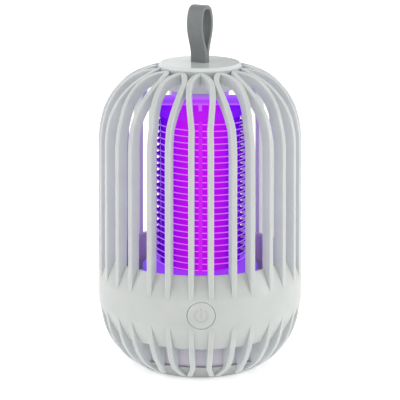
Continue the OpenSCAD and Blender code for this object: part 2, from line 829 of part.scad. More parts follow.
module tray_pan() {
    color([0.8, 0.82, 0.81]) difference() {
        rotate_extrude() polygon([
            [0, 0.5], [37.6, 0.5], [37.9, 0.9], [pan_foot_r, pan_foot_z], [pan_top_r, pan_top_z],
            [cup_r + 0.05, pan_top_z], [pan_foot_r - pan_wall, pan_foot_z + 0.7],
            [0, pan_foot_z + 0.7]]);
        ring(30.9, 35.1, 0, 1.3);
    }
}

module tray_cup() {
    color([0.72, 0.7, 0.76]) rotate_extrude() polygon([
        [0, 2.5], [34.7, 2.5], [cup_r, pan_top_z],
        [cup_r, cup_top_z], [cup_r - cup_wall, cup_top_z], [cup_r - cup_wall, pan_top_z + 1],
        [34, 3.9], [0, 3.9]]);
}

module tray_seal() {
    color([0.3, 0.3, 0.32]) rotate_extrude() polygon([
        [cup_r - cup_wall, cup_top_z], [cup_r, cup_top_z], [cup_r, cup_top_z + 0.45],
        [cup_r + 0.2, cup_top_z + 0.8],
        [cup_r - 0.2, cup_top_z + 1.5], [cup_r - cup_wall, cup_top_z + 1.5]]);
}

module foot_ring() {
    color([0.3, 0.3, 0.3]) ring(31, 35, 0, 1.3);
}

cage_arches();
bowl_ribs();
cage_band();
cage_hub();
hub_cone();
cap_disc();
strap_loop();
strap_root();
strap_clamp();
strap_screws();
bowl_liner();
drop_funnel();
button_sleeve();
front_bridge();
rear_bridge();
side_spokes();
drum_shell();
drum_floor();
floor_screws();
turret();
core_screws();
lamp_tube();
lamp_cap();
lamp_spine();
led_boards();
uv_leds();
grid_base();
grid_posts();
grid_combs();
live_coil();
earth_coil();
live_bus();
earth_bus();
battery_cell();
battery_holder();
battery_contacts();
main_board();
board_screws();
hv_transformer();
hv_capacitors();
board_chips();
switch_board();
tact_switch();
button_cap();
button_plunger();
usb_socket();
usb_board();
usb_bezel();
tray_fins();
tray_pan();
tray_cup();
tray_seal();
foot_ring();
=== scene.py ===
"""Looks of a ribbed bug zapper lantern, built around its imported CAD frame.

Lengths are millimetres in the frame's own axes: Z is up and the push button faces -Y.
Azimuths are degrees, counted from the front (-Y) towards the right (+X).
"""

import json
import math

import bmesh
import bpy
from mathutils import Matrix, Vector


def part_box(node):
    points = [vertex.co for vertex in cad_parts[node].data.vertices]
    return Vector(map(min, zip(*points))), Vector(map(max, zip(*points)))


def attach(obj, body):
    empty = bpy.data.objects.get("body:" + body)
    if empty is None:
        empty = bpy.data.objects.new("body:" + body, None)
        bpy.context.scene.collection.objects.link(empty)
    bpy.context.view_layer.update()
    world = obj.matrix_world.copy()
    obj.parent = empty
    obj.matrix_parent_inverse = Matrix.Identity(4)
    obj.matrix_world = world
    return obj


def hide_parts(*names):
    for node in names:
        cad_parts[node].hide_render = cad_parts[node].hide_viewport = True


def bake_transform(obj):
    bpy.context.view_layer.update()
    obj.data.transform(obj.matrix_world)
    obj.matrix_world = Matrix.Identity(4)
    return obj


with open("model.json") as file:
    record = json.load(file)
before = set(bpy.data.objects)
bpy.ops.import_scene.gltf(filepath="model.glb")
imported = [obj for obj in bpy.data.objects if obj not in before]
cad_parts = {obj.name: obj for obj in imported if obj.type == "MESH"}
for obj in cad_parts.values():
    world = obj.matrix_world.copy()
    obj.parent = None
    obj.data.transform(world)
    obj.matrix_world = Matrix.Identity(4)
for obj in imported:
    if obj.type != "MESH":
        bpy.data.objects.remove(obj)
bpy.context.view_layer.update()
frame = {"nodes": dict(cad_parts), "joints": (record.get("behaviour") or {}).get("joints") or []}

MM = 0.001


def low(node):
    """Lowest corner of a CAD node, in millimetres."""
    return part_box(node)[0] / MM


def high(node):
    """Highest corner of a CAD node, in millimetres."""
    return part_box(node)[1] / MM


# ---- Sizes: read from the frame where a box gives them, or else chosen ----

# Cage outline: its crown and bowl are superellipses with these poles and powers
SHOULDER_R, SHOULDER_Z = 59.1, 131.3
WAIST_R, WAIST_Z = 60.1, 45.3
CROWN_Z, CROWN_POLE_R, CROWN_POWER = 177.8, 17, 2.31
BOWL_POLE_R, BOWL_POLE_Z, BOWL_POWER = 10.8, -4.55, 2.39

# Ribs: they spread from BEND_R on, all but touch their neighbours at KISS_R, and meet at APEX_R
ARCH_COUNT = 15
RIB_W, RIB_DEPTH, RIB_ANGLE = 3.0, 6.3, 5.5
RIB_FILLET, RIB_INNER_FILLET = 0.55, 0.35
BEND_R, KISS_R, KISS_ANGLE, APEX_R = 56.5, 39, 9.72, 26
LOBE_END = 76
STRAIGHT_STEPS, BEND_STEPS, SPREAD_STEPS, LOBE_STEPS, ROOT_STEPS = 12, 14, 22, 18, 14
FIN_TURN_Z, FIN_FOOT_ANGLE, FIN_FOOT_POWER = 10, 9.55, 1.2

# Band: flush with the ribs between two heights, and recessed under them above and below
parting_z = low("cage_band").z
band_top_z = high("cage_band").z
FLUSH_TOP_Z, FLUSH_BOTTOM_Z = 53.5, 38.5
BAND_PROUD, BAND_POWER = 0.15, 1.25
BAND_TOP_RECESS, BAND_BOTTOM_RECESS = 4.85, 4.05
BAND_WALL = 2.0
BAND_TOP_FILLET, BAND_BOTTOM_FILLET = 0.5, 0.3
RIB_ROOT = 0.8
SOCKET_GAP, SOCKET_CORNER = 0.1, 0.6

# Hub and cap
cap_low_z, cap_top_z = low("cap_disc").z, high("cap_disc").z
cap_edge_r = high("cap_disc").x
CAP_BEVEL = 1.1
hub_low_z, hub_r = low("cage_hub").z, high("cage_hub").x
HUB_WALL, HUB_PLATE = 2.2, 2
CONE_RIM_R, CONE_RIM_Z = 20.1, 164.6
neck_low_z = low("hub_cone").z
NECK_R, NECK_WALL, NECK_FLOOR = 16.7, 1.5, 1.6

# Strap
strap_joint = next(j for j in frame["joints"] if j["name"] == "strap_bend")
strap_pivot_z = strap_joint["pos_m"][2] / MM
strap_across = Vector(strap_joint["axis"])
strap_top_z = high("strap_loop").z
strap_foot_z = low("strap_root").z
STRAP_W, STRAP_T, STRAP_DEPTH, STRAP_FOOT_HALF = 9.8, 2.3, 13.6, 2.45
STRAP_BELLY, STRAP_ROUND = 0.62, 2.5
strap_belly_z = strap_pivot_z + (strap_top_z - strap_pivot_z) * STRAP_BELLY
STRAP_FILLET = 0.5
STRAP_SLOT_GAP, STRAP_SLOT_CORNER = 0.08, 0.6
EYE_BOTTOM_RISE, EYE_OPENING_RISE = 4.2, 7.0

# Lamp and grid
SEAT_GAP = 0.05
lamp_r = high("lamp_tube").x
TUBE_WALL = 1.2
lamp_low_z, lamp_top_z = low("lamp_tube").z, high("lamp_tube").z
sleeve_low_z, grip_top_z = low("lamp_cap").z, high("lamp_cap").z
SLEEVE_R, LAMP_CAP_T = 24.9, 0.9
lamp_cap_top_z = lamp_top_z + LAMP_CAP_T
GRIP_HALF, GRIP_T = 24.6, 2.4
TAB_R, TAB_HALF, TAB_RISE = 19.4, 1, 0.8
turret_r = high("turret").x
turret_low_z, turret_top_z = low("turret").z, high("turret").z
TURRET_WALL, TURRET_GROOVE = 3, 0.5
WIRE_R, WIRE_PITCH, TURN_COUNT = 0.35, 3.74, 12
WIRE_SIDES, WIRE_STEP = 12, 2.5
FIRST_WIRE_Z = 62
EARTH_TOP_Z = FIRST_WIRE_Z + WIRE_PITCH * (2 * TURN_COUNT - 1)
# Radius, height at azimuth 0, first azimuth and last azimuth of each coil
COILS = {
    "live_coil": (27, EARTH_TOP_Z - WIRE_PITCH, -303, 360 * (TURN_COUNT - 1) + 12),
    "earth_coil": (26.5, EARTH_TOP_Z, -12, 360 * (TURN_COUNT - 1) + 150)}
post_low_z, post_top_z = low("grid_posts").z, high("grid_posts").z
POST_W, POST_OUTER_R = 2.2, 27.7
COMB_R, COMB_WAIST_R, COMB_ROOT_R, COMB_T = 27.6, 24.4, 23.5, 1.6

# Button
BUTTON_R = 7.85
button_z = (low("button_cap").z + high("button_cap").z) / 2
BUTTON_GAP, BUTTON_FILLET, BUTTON_THICK = 0.25, 0.3, 2.4
STEM_R, STEM_LENGTH = 2.2, 3
MARK_R, MARK_STROKE, MARK_PROUD, MARK_DEPTH = 3.7, 1.1, 0.04, 0.3
MARK_OPENING, MARK_BAR_LOW, MARK_BAR_HIGH = 38, -1.1, 4.1

# Tray
fin_foot_z = low("tray_fins").z
cup_r, cup_top_z = high("tray_cup").x, high("tray_cup").z
pan_top_r, pan_top_z = high("tray_pan").x, high("tray_pan").z
PAN_FOOT_R, PAN_FOOT_Z, PAN_LOW_Z = 37.9, 1.6, 0.5
CUP_WALL, PAN_WALL, PAN_FLOOR = 1.4, 1.8, 0.7
CUP_FOOT_R, CUP_FOOT_Z, CUP_INNER_R, CUP_INNER_Z = 34.7, 2.5, 34, 3.9
foot_ring_r, foot_ring_top_z = high("foot_ring").x, high("foot_ring").z
FOOT_RING_W, FOOT_RING_GAP = 4, 0.1


def cage_r(z):
    """Radius of the cage's outer surface at a height."""
    if z > SHOULDER_Z:
        rise = (z - SHOULDER_Z) / (CROWN_Z - SHOULDER_Z)
        share = (1 - rise**CROWN_POWER) ** (1 / CROWN_POWER)
        return CROWN_POLE_R + (SHOULDER_R - CROWN_POLE_R) * share
    if z > WAIST_Z:
        return WAIST_R + (SHOULDER_R - WAIST_R) * (z - WAIST_Z) / (SHOULDER_Z - WAIST_Z)
    drop = (WAIST_Z - z) / (WAIST_Z - BOWL_POLE_Z)
    share = (1 - drop**BOWL_POWER) ** (1 / BOWL_POWER)
    return BOWL_POLE_R + (WAIST_R - BOWL_POLE_R) * share


def crown_height(r):
    """Height of the crown's outer surface at a radius."""
    share = (r - CROWN_POLE_R) / (SHOULDER_R - CROWN_POLE_R)
    return SHOULDER_Z + (CROWN_Z - SHOULDER_Z) * (1 - share**CROWN_POWER) ** (1 / CROWN_POWER)


def band_r(z):
    """Radius of the band's outer surface at a height."""
    recess = 0
    if z > FLUSH_TOP_Z:
        share = (z - FLUSH_TOP_Z) / (band_top_z - FLUSH_TOP_Z)
        recess = BAND_TOP_RECESS * share**BAND_POWER
    if z < FLUSH_BOTTOM_Z:
        share = (FLUSH_BOTTOM_Z - z) / (FLUSH_BOTTOM_Z - parting_z)
        recess = BAND_BOTTOM_RECESS * share**BAND_POWER
    return cage_r(z) + BAND_PROUD - recess


# ---- Mesh tools ----

WELD_MM = 0.0001
SHARP_ANGLE = 35
SEGMENTS, FINE_SEGMENTS = 180, 240


def at(r, azimuth, z):
    """Point at a radius, an azimuth and a height."""
    a = math.radians(azimuth)
    return Vector((r * math.sin(a), -r * math.cos(a), z))


def steps(start, end, count):
    """count + 1 equally spaced values from start to end."""
    return [start + (end - start) * i / count for i in range(count + 1)]


def rounded(corners, arc_steps=3):
    """Closed outline through corners (x, y, fillet), each corner with a fillet made into an arc."""
    outline = []
    for i, (x, y, fillet) in enumerate(corners):
        here = Vector((x, y))
        if fillet == 0:
            outline.append(here)
            continue
        before = Vector(corners[i - 1][:2]) - here
        after = Vector(corners[(i + 1) % len(corners)][:2]) - here
        reach = fillet / math.tan(before.angle(after) / 2)
        reach = min(reach, 0.45 * before.length, 0.45 * after.length)
        start = here + before.normalized() * reach
        end = here + after.normalized() * reach
        for t in steps(0, 1, arc_steps):
            outline.append(start.lerp(here, t).lerp(here.lerp(end, t), t))
    return outline


def slab(half, near, far, near_fillet, far_fillet, arc_steps=3):
    """Outline of a rectangle from -half to half across, and from near to far, each end with its fillet."""
    return rounded([
        (-half, near, near_fillet), (half, near, near_fillet),
        (half, far, far_fillet), (-half, far, far_fillet)], arc_steps)


def lathe(outline, segments=SEGMENTS):
    """Points and faces of a closed (radius, height) outline turned about the Z axis."""
    points, rows = [], []
    for r, z in outline:
        if r == 0:
            rows.append([len(points)] * segments)
            points.append(Vector((0, 0, z)))
        else:
            rows.append([len(points) + k for k in range(segments)])
            points += [at(r, 360 * k / segments, z) for k in range(segments)]
    faces = []
    for i, row in enumerate(rows):
        above = rows[(i + 1) % len(rows)]
        for k in range(segments):
            m = (k + 1) % segments
            corners = list(dict.fromkeys([row[k], row[m], above[m], above[k]]))
            if len(corners) > 2:
                faces.append(corners)
    return points, faces


def loft(rings):
    """Points and faces of a solid through rings that have equally many points."""
    size = len(rings[0])
    points = [p for ring in rings for p in ring]
    last = len(points) - size
    faces = []
    for a in range(0, last, size):
        b = a + size
        for k in range(size):
            m = (k + 1) % size
            faces.append([a + k, a + m, b + m, b + k])
    faces.append(list(range(size)))
    faces.append([last + k for k in range(size)])
    return points, faces


def merged(solids):
    """Points and faces of several solids as one."""
    points, faces = [], []
    for more_points, more_faces in solids:
        start = len(points)
        points += more_points
        faces += [[start + k for k in face] for face in more_faces]
    return points, faces


def around(solid, count, first=0):
    """Copies of a solid at equal azimuths about the Z axis."""
    points, faces = solid
    copies = []
    for i in range(count):
        a = math.radians(first + i * 360 / count)
        c, s = math.cos(a), math.sin(a)
        copies.append(([Vector((c * p.x - s * p.y, s * p.x + c * p.y, p.z)) for p in points], faces))
    return merged(copies)


def new_object(name, solid):
    """A mesh object from points and faces in millimetres, with its normals turned outwards."""
    points, faces = solid
    mesh = bpy.data.meshes.new(name)
    mesh.from_pydata([p * MM for p in points], [], faces)
    work = bmesh.new()
    work.from_mesh(mesh)
    bmesh.ops.remove_doubles(work, verts=work.verts, dist=WELD_MM * MM)
    bmesh.ops.delete(work, geom=[v for v in work.verts if not v.link_faces], context="VERTS")
    bmesh.ops.recalc_face_normals(work, faces=work.faces)
    work.to_mesh(mesh)
    work.free()
    made = bpy.data.objects.new(name, mesh)
    bpy.context.scene.collection.objects.link(made)
    return made


def cut(piece, cutter):
    """Takes the cutter's space out of a piece, and removes the cutter."""
    hole = piece.modifiers.new("hole", "BOOLEAN")
    hole.object = cutter
    hole.operation = "DIFFERENCE"
    hole.solver = "EXACT"
    seen = piece.evaluated_get(bpy.context.evaluated_depsgraph_get())
    result = bpy.data.meshes.new_from_object(seen)
    piece.modifiers.clear()
    piece.data = result
    bpy.data.objects.remove(cutter)


def smooth(piece):
    """Shades a piece smooth except at its sharp edges, with flat faces kept flat."""
    work = bmesh.new()
    work.from_mesh(piece.data)
    for face in work.faces:
        face.smooth = True
    for edge in work.edges:
        edge.smooth = edge.calc_face_angle(0) < math.radians(SHARP_ANGLE)
    work.to_mesh(piece.data)
    work.free()
    weighted = piece.modifiers.new("weighted", "WEIGHTED_NORMAL")
    weighted.keep_sharp = True


def finish(piece, material, body, nodes=()):
    """Smooths and paints a piece, ties it to its body, and hides the nodes that it stands for."""
    smooth(piece)
    piece.data.materials.clear()
    piece.data.materials.append(material)
    if body:
        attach(piece, body)
    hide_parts(*nodes)


# ---- Material tools ----

# Most of a noise's values lie between these two
NOISE_LOW, NOISE_HIGH = 0.3, 0.7
GRAIN_DEPTH = 0.05


def new_material(name):
    """A material with only its shader and its output."""
    material = bpy.data.materials.new(name)
    material.use_nodes = True
    tree = material.node_tree
    tree.nodes.clear()
    shader = tree.nodes.new("ShaderNodeBsdfPrincipled")
    output = tree.nodes.new("ShaderNodeOutputMaterial")
    tree.links.new(shader.outputs["BSDF"], output.inputs["Surface"])
    return material, shader


def new_node(material, kind):
    return material.node_tree.nodes.new("ShaderNode" + kind)


def plug(material, value, target):
    """Links a socket to an input, or sets the input to a value."""
    if isinstance(value, bpy.types.NodeSocket):
        material.node_tree.links.new(value, target)
    else:
        target.default_value = value


def feed(material, socket, **inputs):
    """Links or sets the named inputs of the node that socket belongs to, and returns socket."""
    for name, value in inputs.items():
        plug(material, value, socket.node.inputs[name])
    return socket


def coordinates(material, kind):
    """Coordinates of a kind that the Texture Coordinate node gives."""
    return new_node(material, "TexCoord").outputs[kind]


def split(material, kind):
    """X, Y and Z of a kind of coordinates, in metres where they are lengths."""
    node = new_node(material, "SeparateXYZ")
    plug(material, coordinates(material, kind), node.inputs["Vector"])
    return node.outputs["X"], node.outputs["Y"], node.outputs["Z"]


def noise(material, grain_mm, detail=3.0):
    """Noise over the object's own coordinates, with features about grain_mm across."""
    out = new_node(material, "TexNoise").outputs["Fac"]
    place = coordinates(material, "Object")
    return feed(material, out, Vector=place, Scale=1 / (grain_mm * MM), Detail=detail)


def ramp(material, value, stops):
    """Colour that runs through stops (position, linear colour) as value goes from 0 to 1."""
    node = new_node(material, "ValToRGB")
    elements = node.color_ramp.elements
    for i, (position, colour) in enumerate(stops):
        element = elements[i] if i < 2 else elements.new(position)
        element.position = position
        element.color = (*colour, 1)
    return feed(material, node.outputs["Color"], Fac=value)


def scaled(material, value, from_min, from_max, to_min, to_max):
    """Value mapped from one range to another, and clamped to it."""
    node = new_node(material, "MapRange")
    limits = {"From Min": from_min, "From Max": from_max, "To Min": to_min, "To Max": to_max}
    return feed(material, node.outputs["Result"], Value=value, **limits)


def by_height(material, low_z, high_z, first, last):
    """Value that runs from first to last between two heights, in millimetres."""
    _, _, z = split(material, "Object")
    return scaled(material, z, low_z * MM, high_z * MM, first, last)


def maths(material, operation, *values):
    """Result of a Math node on sockets or numbers."""
    node = new_node(material, "Math")
    node.operation = operation
    for target, value in zip(node.inputs, values):
        plug(material, value, target)
    return node.outputs["Value"]


def vector_maths(material, operation, *values):
    """Result of a Vector Math node on sockets or vectors."""
    node = new_node(material, "VectorMath")
    node.operation = operation
    for target, value in zip(node.inputs, values):
        plug(material, value, target)
    return next(out for out in node.outputs if out.enabled)


def mixed(material, factor, first, second):
    """Colour between two colour sockets or linear colours."""
    node = new_node(material, "Mix")
    node.data_type = "RGBA"
    plug(material, factor, node.inputs["Factor"])
    for name, value in (("A", first), ("B", second)):
        target = next(s for s in node.inputs if s.name == name and s.type == "RGBA")
        plug(material, value if isinstance(value, bpy.types.NodeSocket) else (*value, 1), target)
    return next(s for s in node.outputs if s.type == "RGBA")


def sideways(material, radius):
    """0 at the front and back of a round piece and 1 at its sides."""
    x, _, _ = split(material, "Object")
    return maths(material, "DIVIDE", maths(material, "ABSOLUTE", x), radius * MM)


def add_bump(material, shader, height, strength, depth_mm):
    """Bump of a real depth on the shader's normal."""
    bump = new_node(material, "Bump").outputs["Normal"]
    feed(material, bump, Strength=strength, Distance=depth_mm * MM, Height=height)
    plug(material, bump, shader.inputs["Normal"])


def moulded(name, colour, roughness, mottle=0.03, patch_mm=14, grain_mm=0.35, grain=0.12, metallic=0.0):
    """Moulded plastic, rubber or metal: faint patches of tone, uneven gloss and a fine grain."""
    material, shader = new_material(name)
    shader.inputs["Metallic"].default_value = metallic
    patches = noise(material, patch_mm)
    darker = tuple(c * (1 - mottle) for c in colour)
    lighter = tuple(min(c * (1 + mottle), 1) for c in colour)
    tone = ramp(material, patches, [(NOISE_LOW, darker), (NOISE_HIGH, lighter)])
    cloud = noise(material, patch_mm * 0.4)
    gloss = scaled(material, cloud, NOISE_LOW, NOISE_HIGH, roughness - 0.05, roughness + 0.05)
    feed(material, shader.outputs["BSDF"], **{"Base Color": tone, "Roughness": gloss})
    add_bump(material, shader, noise(material, grain_mm, 2.0), grain, GRAIN_DEPTH)
    return material, shader


def outward_facing(material):
    """1 on faces that look away from the Z axis, 0 on sideways faces and -1 on inward ones."""
    flat = vector_maths(material, "MULTIPLY", coordinates(material, "Object"), (1, 1, 0))
    radial = vector_maths(material, "NORMALIZE", flat)
    return vector_maths(material, "DOT_PRODUCT", radial, coordinates(material, "Normal"))


def add_painted_light(material, shader, painted_side_light, painted_inner_light):
    """Painted light, as a glow on faces that look sideways or inwards: it stands for the lamp's light above
    the band and for light from below at the foot.
    """
    facing = outward_facing(material)
    foot = by_height(material, 14, 36, 0.7, 0.0)
    lamp = by_height(material, 46, 74, 0.3, 1.0)
    crown = by_height(material, 150, 178, 1.0, 0.5)
    turned = scaled(material, facing, 0.95, 0.2, 0.0, 1.0)
    light = maths(material, "MULTIPLY", maths(material, "ADD", foot, lamp), crown)
    inwards = scaled(material, facing, 0.1, -0.8, 0.0, 1.0)
    plug(material, mixed(material, inwards, painted_side_light, painted_inner_light), shader.inputs["Emission Color"])
    plug(material, maths(material, "MULTIPLY", light, turned), shader.inputs["Emission Strength"])


def glow(material, shader, colour, strength=1.0):
    """Light that the piece gives off: the lamp's own light on the tube and the diodes, and painted lamp
    light on the other pieces that it lights.
    """
    plug(material, colour, shader.inputs["Emission Color"])
    plug(material, strength, shader.inputs["Emission Strength"])
    shader.inputs["Specular IOR Level"].default_value = 0.0


# ---- Materials ----


def make_shell():
    """White-grey plastic, which lets a little light through its thin ribs, with painted light on its
    sideways and inward faces.
    """
    material, shader = moulded("shell_plastic", (0.448, 0.465, 0.450), 0.40)
    shader.inputs["Subsurface Weight"].default_value = 0.5
    shader.inputs["Subsurface Radius"].default_value = (1.0, 1.0, 1.0)
    shader.inputs["Subsurface Scale"].default_value = 2.5 * MM
    # Painted light: a grey glow on sideways faces and a violet glow on inward ones
    add_painted_light(material, shader, (0.115, 0.125, 0.135), (0.10, 0.08, 0.20))
    return material


def make_cone():
    """Grey cone under the cap, and its neck, which glows violet next to the lamp with painted lamp light."""
    material, shader = moulded("cone_plastic", (0.40, 0.42, 0.40), 0.45)
    # Painted lamp light: a violet glow at the foot of the neck, fading upwards to a faint grey-green glow on
    # the cone
    light = ramp(material, by_height(material, neck_low_z, hub_low_z, 0.0, 1.0), [
        (0.0, (0.42, 0.03, 0.84)),
        (0.2, (0.26, 0.08, 0.55)),
        (0.38, (0.13, 0.10, 0.28)),
        (0.42, (0.07, 0.11, 0.06)),
        (1.0, (0.06, 0.09, 0.06))])
    # Base colour: dark violet below the cone's rim, grey above it
    above_neck = by_height(material, CONE_RIM_Z - 0.4, CONE_RIM_Z, 0.0, 1.0)
    grey = shader.inputs["Base Color"].links[0].from_socket
    plug(material, mixed(material, above_neck, (0.12, 0.08, 0.16), grey), shader.inputs["Base Color"])
    plug(material, light, shader.inputs["Emission Color"])
    shader.inputs["Emission Strength"].default_value = 1.0
    return material


def make_cap():
    """Glossy cap, with painted shade that makes its flat top a little darker than round its edge."""
    material, shader = moulded("cap_plastic", (0.58, 0.617, 0.605), 0.22, mottle=0.015, grain=0.03)
    _, _, rise = split(material, "Normal")
    painted_top_shade = scaled(material, rise, 0.90, 0.99, 0.0, 1.0)
    edge = shader.inputs["Base Color"].links[0].from_socket
    # Painted shade: a darker base colour on the faces that look up
    plug(material, mixed(material, painted_top_shade, edge, (0.475, 0.505, 0.49)), shader.inputs["Base Color"])
    shader.inputs["Specular IOR Level"].default_value = 0.2
    shader.inputs["Coat Weight"].default_value = 0.3
    shader.inputs["Coat Roughness"].default_value = 0.01
    return material


def make_mark():
    return moulded("mark_plastic", (0.395, 0.408, 0.390), 0.45, mottle=0.02)[0]


def make_pan_plastic():
    return moulded("pan_plastic", (0.35, 0.36, 0.355), 0.40)[0]


def make_liner():
    return moulded("liner_plastic", (0.58, 0.55, 0.62), 0.38)[0]


def make_strap():
    material, shader = moulded("strap_silicone", (0.135, 0.144, 0.146), 0.55, 0.06, 9, 0.25, 0.2)
    shader.inputs["Sheen Weight"].default_value = 0.15
    shader.inputs["Sheen Roughness"].default_value = 0.5
    return material


def make_lamp():
    """Frosted tube: magenta in front of the diode boards, with painted shade that turns it darker violet
    towards the sides.
    """
    material, shader = moulded("lamp_glow", (0.01, 0.001, 0.02), 0.35, grain=0.05)
    # Painted shade: the glow turns darker violet from the front and back towards the sides
    base = ramp(material, sideways(material, lamp_r), [
        (0.0, (0.52, 0.005, 0.82)),
        (0.35, (0.49, 0.005, 0.83)),
        (0.58, (0.42, 0.004, 0.82)),
        (0.75, (0.16, 0.0, 0.76)),
        (0.9, (0.11, 0.0, 0.68)),
        (1.0, (0.09, 0.0, 0.56))])
    cloud = scaled(material, noise(material, 9), NOISE_LOW, NOISE_HIGH, 0.0, 0.08)
    strength = by_height(material, lamp_low_z, lamp_top_z, 0.85, 1.05)
    glow(material, shader, mixed(material, cloud, base, (0.62, 0.03, 1.0)), strength)
    return material


def make_lamp_cap():
    """Cap of the lamp, glowing with painted lamp light: a skirt as bright as the tube, and a paler grip with
    a light line at its foot; the skirt and the grip's face turn darker violet towards the sides, which is
    painted shade.
    """
    material, shader = moulded("lamp_cap_glow", (0.02, 0.01, 0.03), 0.3, grain=0.05)
    sides = sideways(material, SLEEVE_R)
    # Painted lamp light on the whole cap, with painted shade towards its sides
    skirt = ramp(material, sides, [
        (0.0, (0.50, 0.006, 0.84)),
        (0.5, (0.40, 0.004, 0.88)),
        (0.75, (0.20, 0.0, 0.94)),
        (1.0, (0.14, 0.0, 0.74))])
    line = ramp(material, sides, [(0.0, (0.56, 0.12, 0.90)), (0.7, (0.48, 0.12, 0.98))])
    face = ramp(material, sides, [(0.0, (0.52, 0.05, 0.92)), (0.7, (0.31, 0.055, 0.94))])
    edge = ramp(material, sides, [(0.0, (0.36, 0.10, 0.80)), (0.7, (0.38, 0.13, 0.96))])
    foot = lamp_cap_top_z
    to_line = by_height(material, foot + 0.03, foot + 0.1, 0.0, 1.0)
    to_face = by_height(material, foot + 0.8, foot + 1.3, 0.0, 1.0)
    to_edge = by_height(material, foot + 2.8, grip_top_z, 0.0, 1.0)
    colour = mixed(material, to_edge, mixed(material, to_face, line, face), edge)
    glow(material, shader, mixed(material, to_line, skirt, colour))
    return material


def make_turret():
    """Lavender seat of the lamp, brightest next to the tube, glowing with painted lamp light that turns
    darker violet towards its sides.
    """
    material, shader = moulded("turret_glow", (0.08, 0.03, 0.14), 0.35, grain=0.06)
    # Painted lamp light, with painted shade towards the sides
    colour = ramp(material, sideways(material, turret_r), [
        (0.0, (0.35, 0.025, 0.74)),
        (0.6, (0.27, 0.035, 0.80)),
        (1.0, (0.16, 0.08, 0.66))])
    glow(material, shader, colour)
    return material


def make_wire():
    """Drawn wire with painted lamp light: a pink glow on its outside that turns darker violet towards the
    sides, and painted shade of dark violet on the side that faces the lamp.
    """
    material, shader = moulded("grid_wire", (0.20, 0.10, 0.26), 0.3, grain=0.05, metallic=0.3)
    place, normal = coordinates(material, "Object"), coordinates(material, "Normal")
    # Painted light and shade: outward faces glow pink, inward faces dark violet
    facing = vector_maths(material, "DOT_PRODUCT", place, normal)
    outside = scaled(material, facing, -4 * MM, 14 * MM, 0.0, 1.0)
    outer = ramp(material, sideways(material, POST_OUTER_R), [
        (0.0, (0.80, 0.13, 0.92)),
        (0.6, (0.60, 0.09, 0.92)),
        (0.8, (0.38, 0.10, 0.88)),
        (1.0, (0.24, 0.09, 0.70))])
    glow(material, shader, mixed(material, outside, (0.04, 0.0, 0.20), outer))
    return material


def make_post():
    """Clear posts and combs of the grid, glowing with painted lamp light: magenta at the front, and painted
    shade of dark violet at the sides.
    """
    material, shader = moulded("grid_post", (0.03, 0.01, 0.05), 0.25, grain=0.05)
    # Painted lamp light, with painted shade at the sides
    colour = ramp(material, sideways(material, POST_OUTER_R), [
        (0.0, (0.60, 0.012, 0.88)),
        (0.5, (0.30, 0.004, 0.80)),
        (0.85, (0.07, 0.0, 0.36)),
        (1.0, (0.06, 0.0, 0.32))])
    glow(material, shader, colour)
    return material


def make_led():
    material, shader = moulded("led_lens", (0.8, 0.75, 0.9), 0.25, grain=0.03)
    stops = [(NOISE_LOW, (0.45, 0.2, 1.0)), (NOISE_HIGH, (0.6, 0.35, 1.0))]
    colour = ramp(material, noise(material, 2), stops)
    glow(material, shader, colour, 0.8)
    return material


def make_board(name, colour):
    """Circuit board: solder mask with a pattern of tracks."""
    material, shader = moulded(name, colour, 0.35, grain=0.05)
    tracks = new_node(material, "TexBrick").outputs["Color"]
    darker = (*(c * 0.85 for c in colour), 1)
    lighter = (*(min(c * 1.6, 1) for c in colour), 1)
    feed(material, tracks, Vector=coordinates(material, "Object"), Scale=260.0)
    feed(material, tracks, Color1=(*colour, 1), Color2=darker, Mortar=lighter)
    plug(material, tracks, shader.inputs["Base Color"])
    return material


shell = make_shell()
cone_plastic = make_cone()
cap_gloss = make_cap()
mark_plastic = make_mark()
pan_plastic = make_pan_plastic()
liner = make_liner()
silicone = make_strap()
lamp_glow = make_lamp()
lamp_cap_glow = make_lamp_cap()
turret_glow = make_turret()
wire = make_wire()
post = make_post()
led = make_led()
white_board = make_board("white_board", (0.72, 0.72, 0.74))
green_board = make_board("green_board", (0.02, 0.16, 0.06))
steel = moulded("screw_steel", (0.56, 0.56, 0.58), 0.3, patch_mm=3, grain_mm=0.2, metallic=1.0)[0]
brass = moulded("bus_brass", (0.62, 0.50, 0.30), 0.3, patch_mm=3, grain_mm=0.2, metallic=1.0)[0]
cell_wrap = moulded("cell_wrap", (0.05, 0.16, 0.45), 0.25, patch_mm=8, grain=0.03)[0]
black_plastic = moulded("black_plastic", (0.025, 0.025, 0.028), 0.45, patch_mm=5)[0]
yellow_tape = moulded("transformer_tape", (0.60, 0.42, 0.05), 0.4, patch_mm=4)[0]
blue_sleeve = moulded("capacitor_sleeve", (0.03, 0.04, 0.25), 0.3, patch_mm=4, grain=0.03)[0]
rubber = moulded("seal_rubber", (0.055, 0.055, 0.058), 0.7, patch_mm=5, grain_mm=0.25, grain=0.25)[0]


# ---- Cage ----


def outward(r, azimuth, z):
    """Outward normal of the cage: level on its side, square to the crown above it."""
    level, rise = 1, 0
    if z > SHOULDER_Z:
        reach = min(0.01, 0.5 * (SHOULDER_R - r))
        fall = crown_height(r - reach) - crown_height(r + reach)
        level, rise = Vector((fall, 2 * reach)).normalized()
    a = math.radians(azimuth)
    return Vector((level * math.sin(a), -level * math.cos(a), rise))


def rib_depth(z):
    """Depth of a rib: short where the band holds its root."""
    if z >= band_top_z:
        return RIB_DEPTH
    return min(RIB_DEPTH, cage_r(z) - band_r(z) + RIB_ROOT)


def rib_outline(depth):
    """Section of a rib, as points (across, inwards)."""
    inner_fillet = min(RIB_INNER_FILLET, 0.3 * depth)
    outer_fillet = min(RIB_FILLET, 0.45 * depth)
    return slab(RIB_W / 2, 0, depth, outer_fillet, inner_fillet)


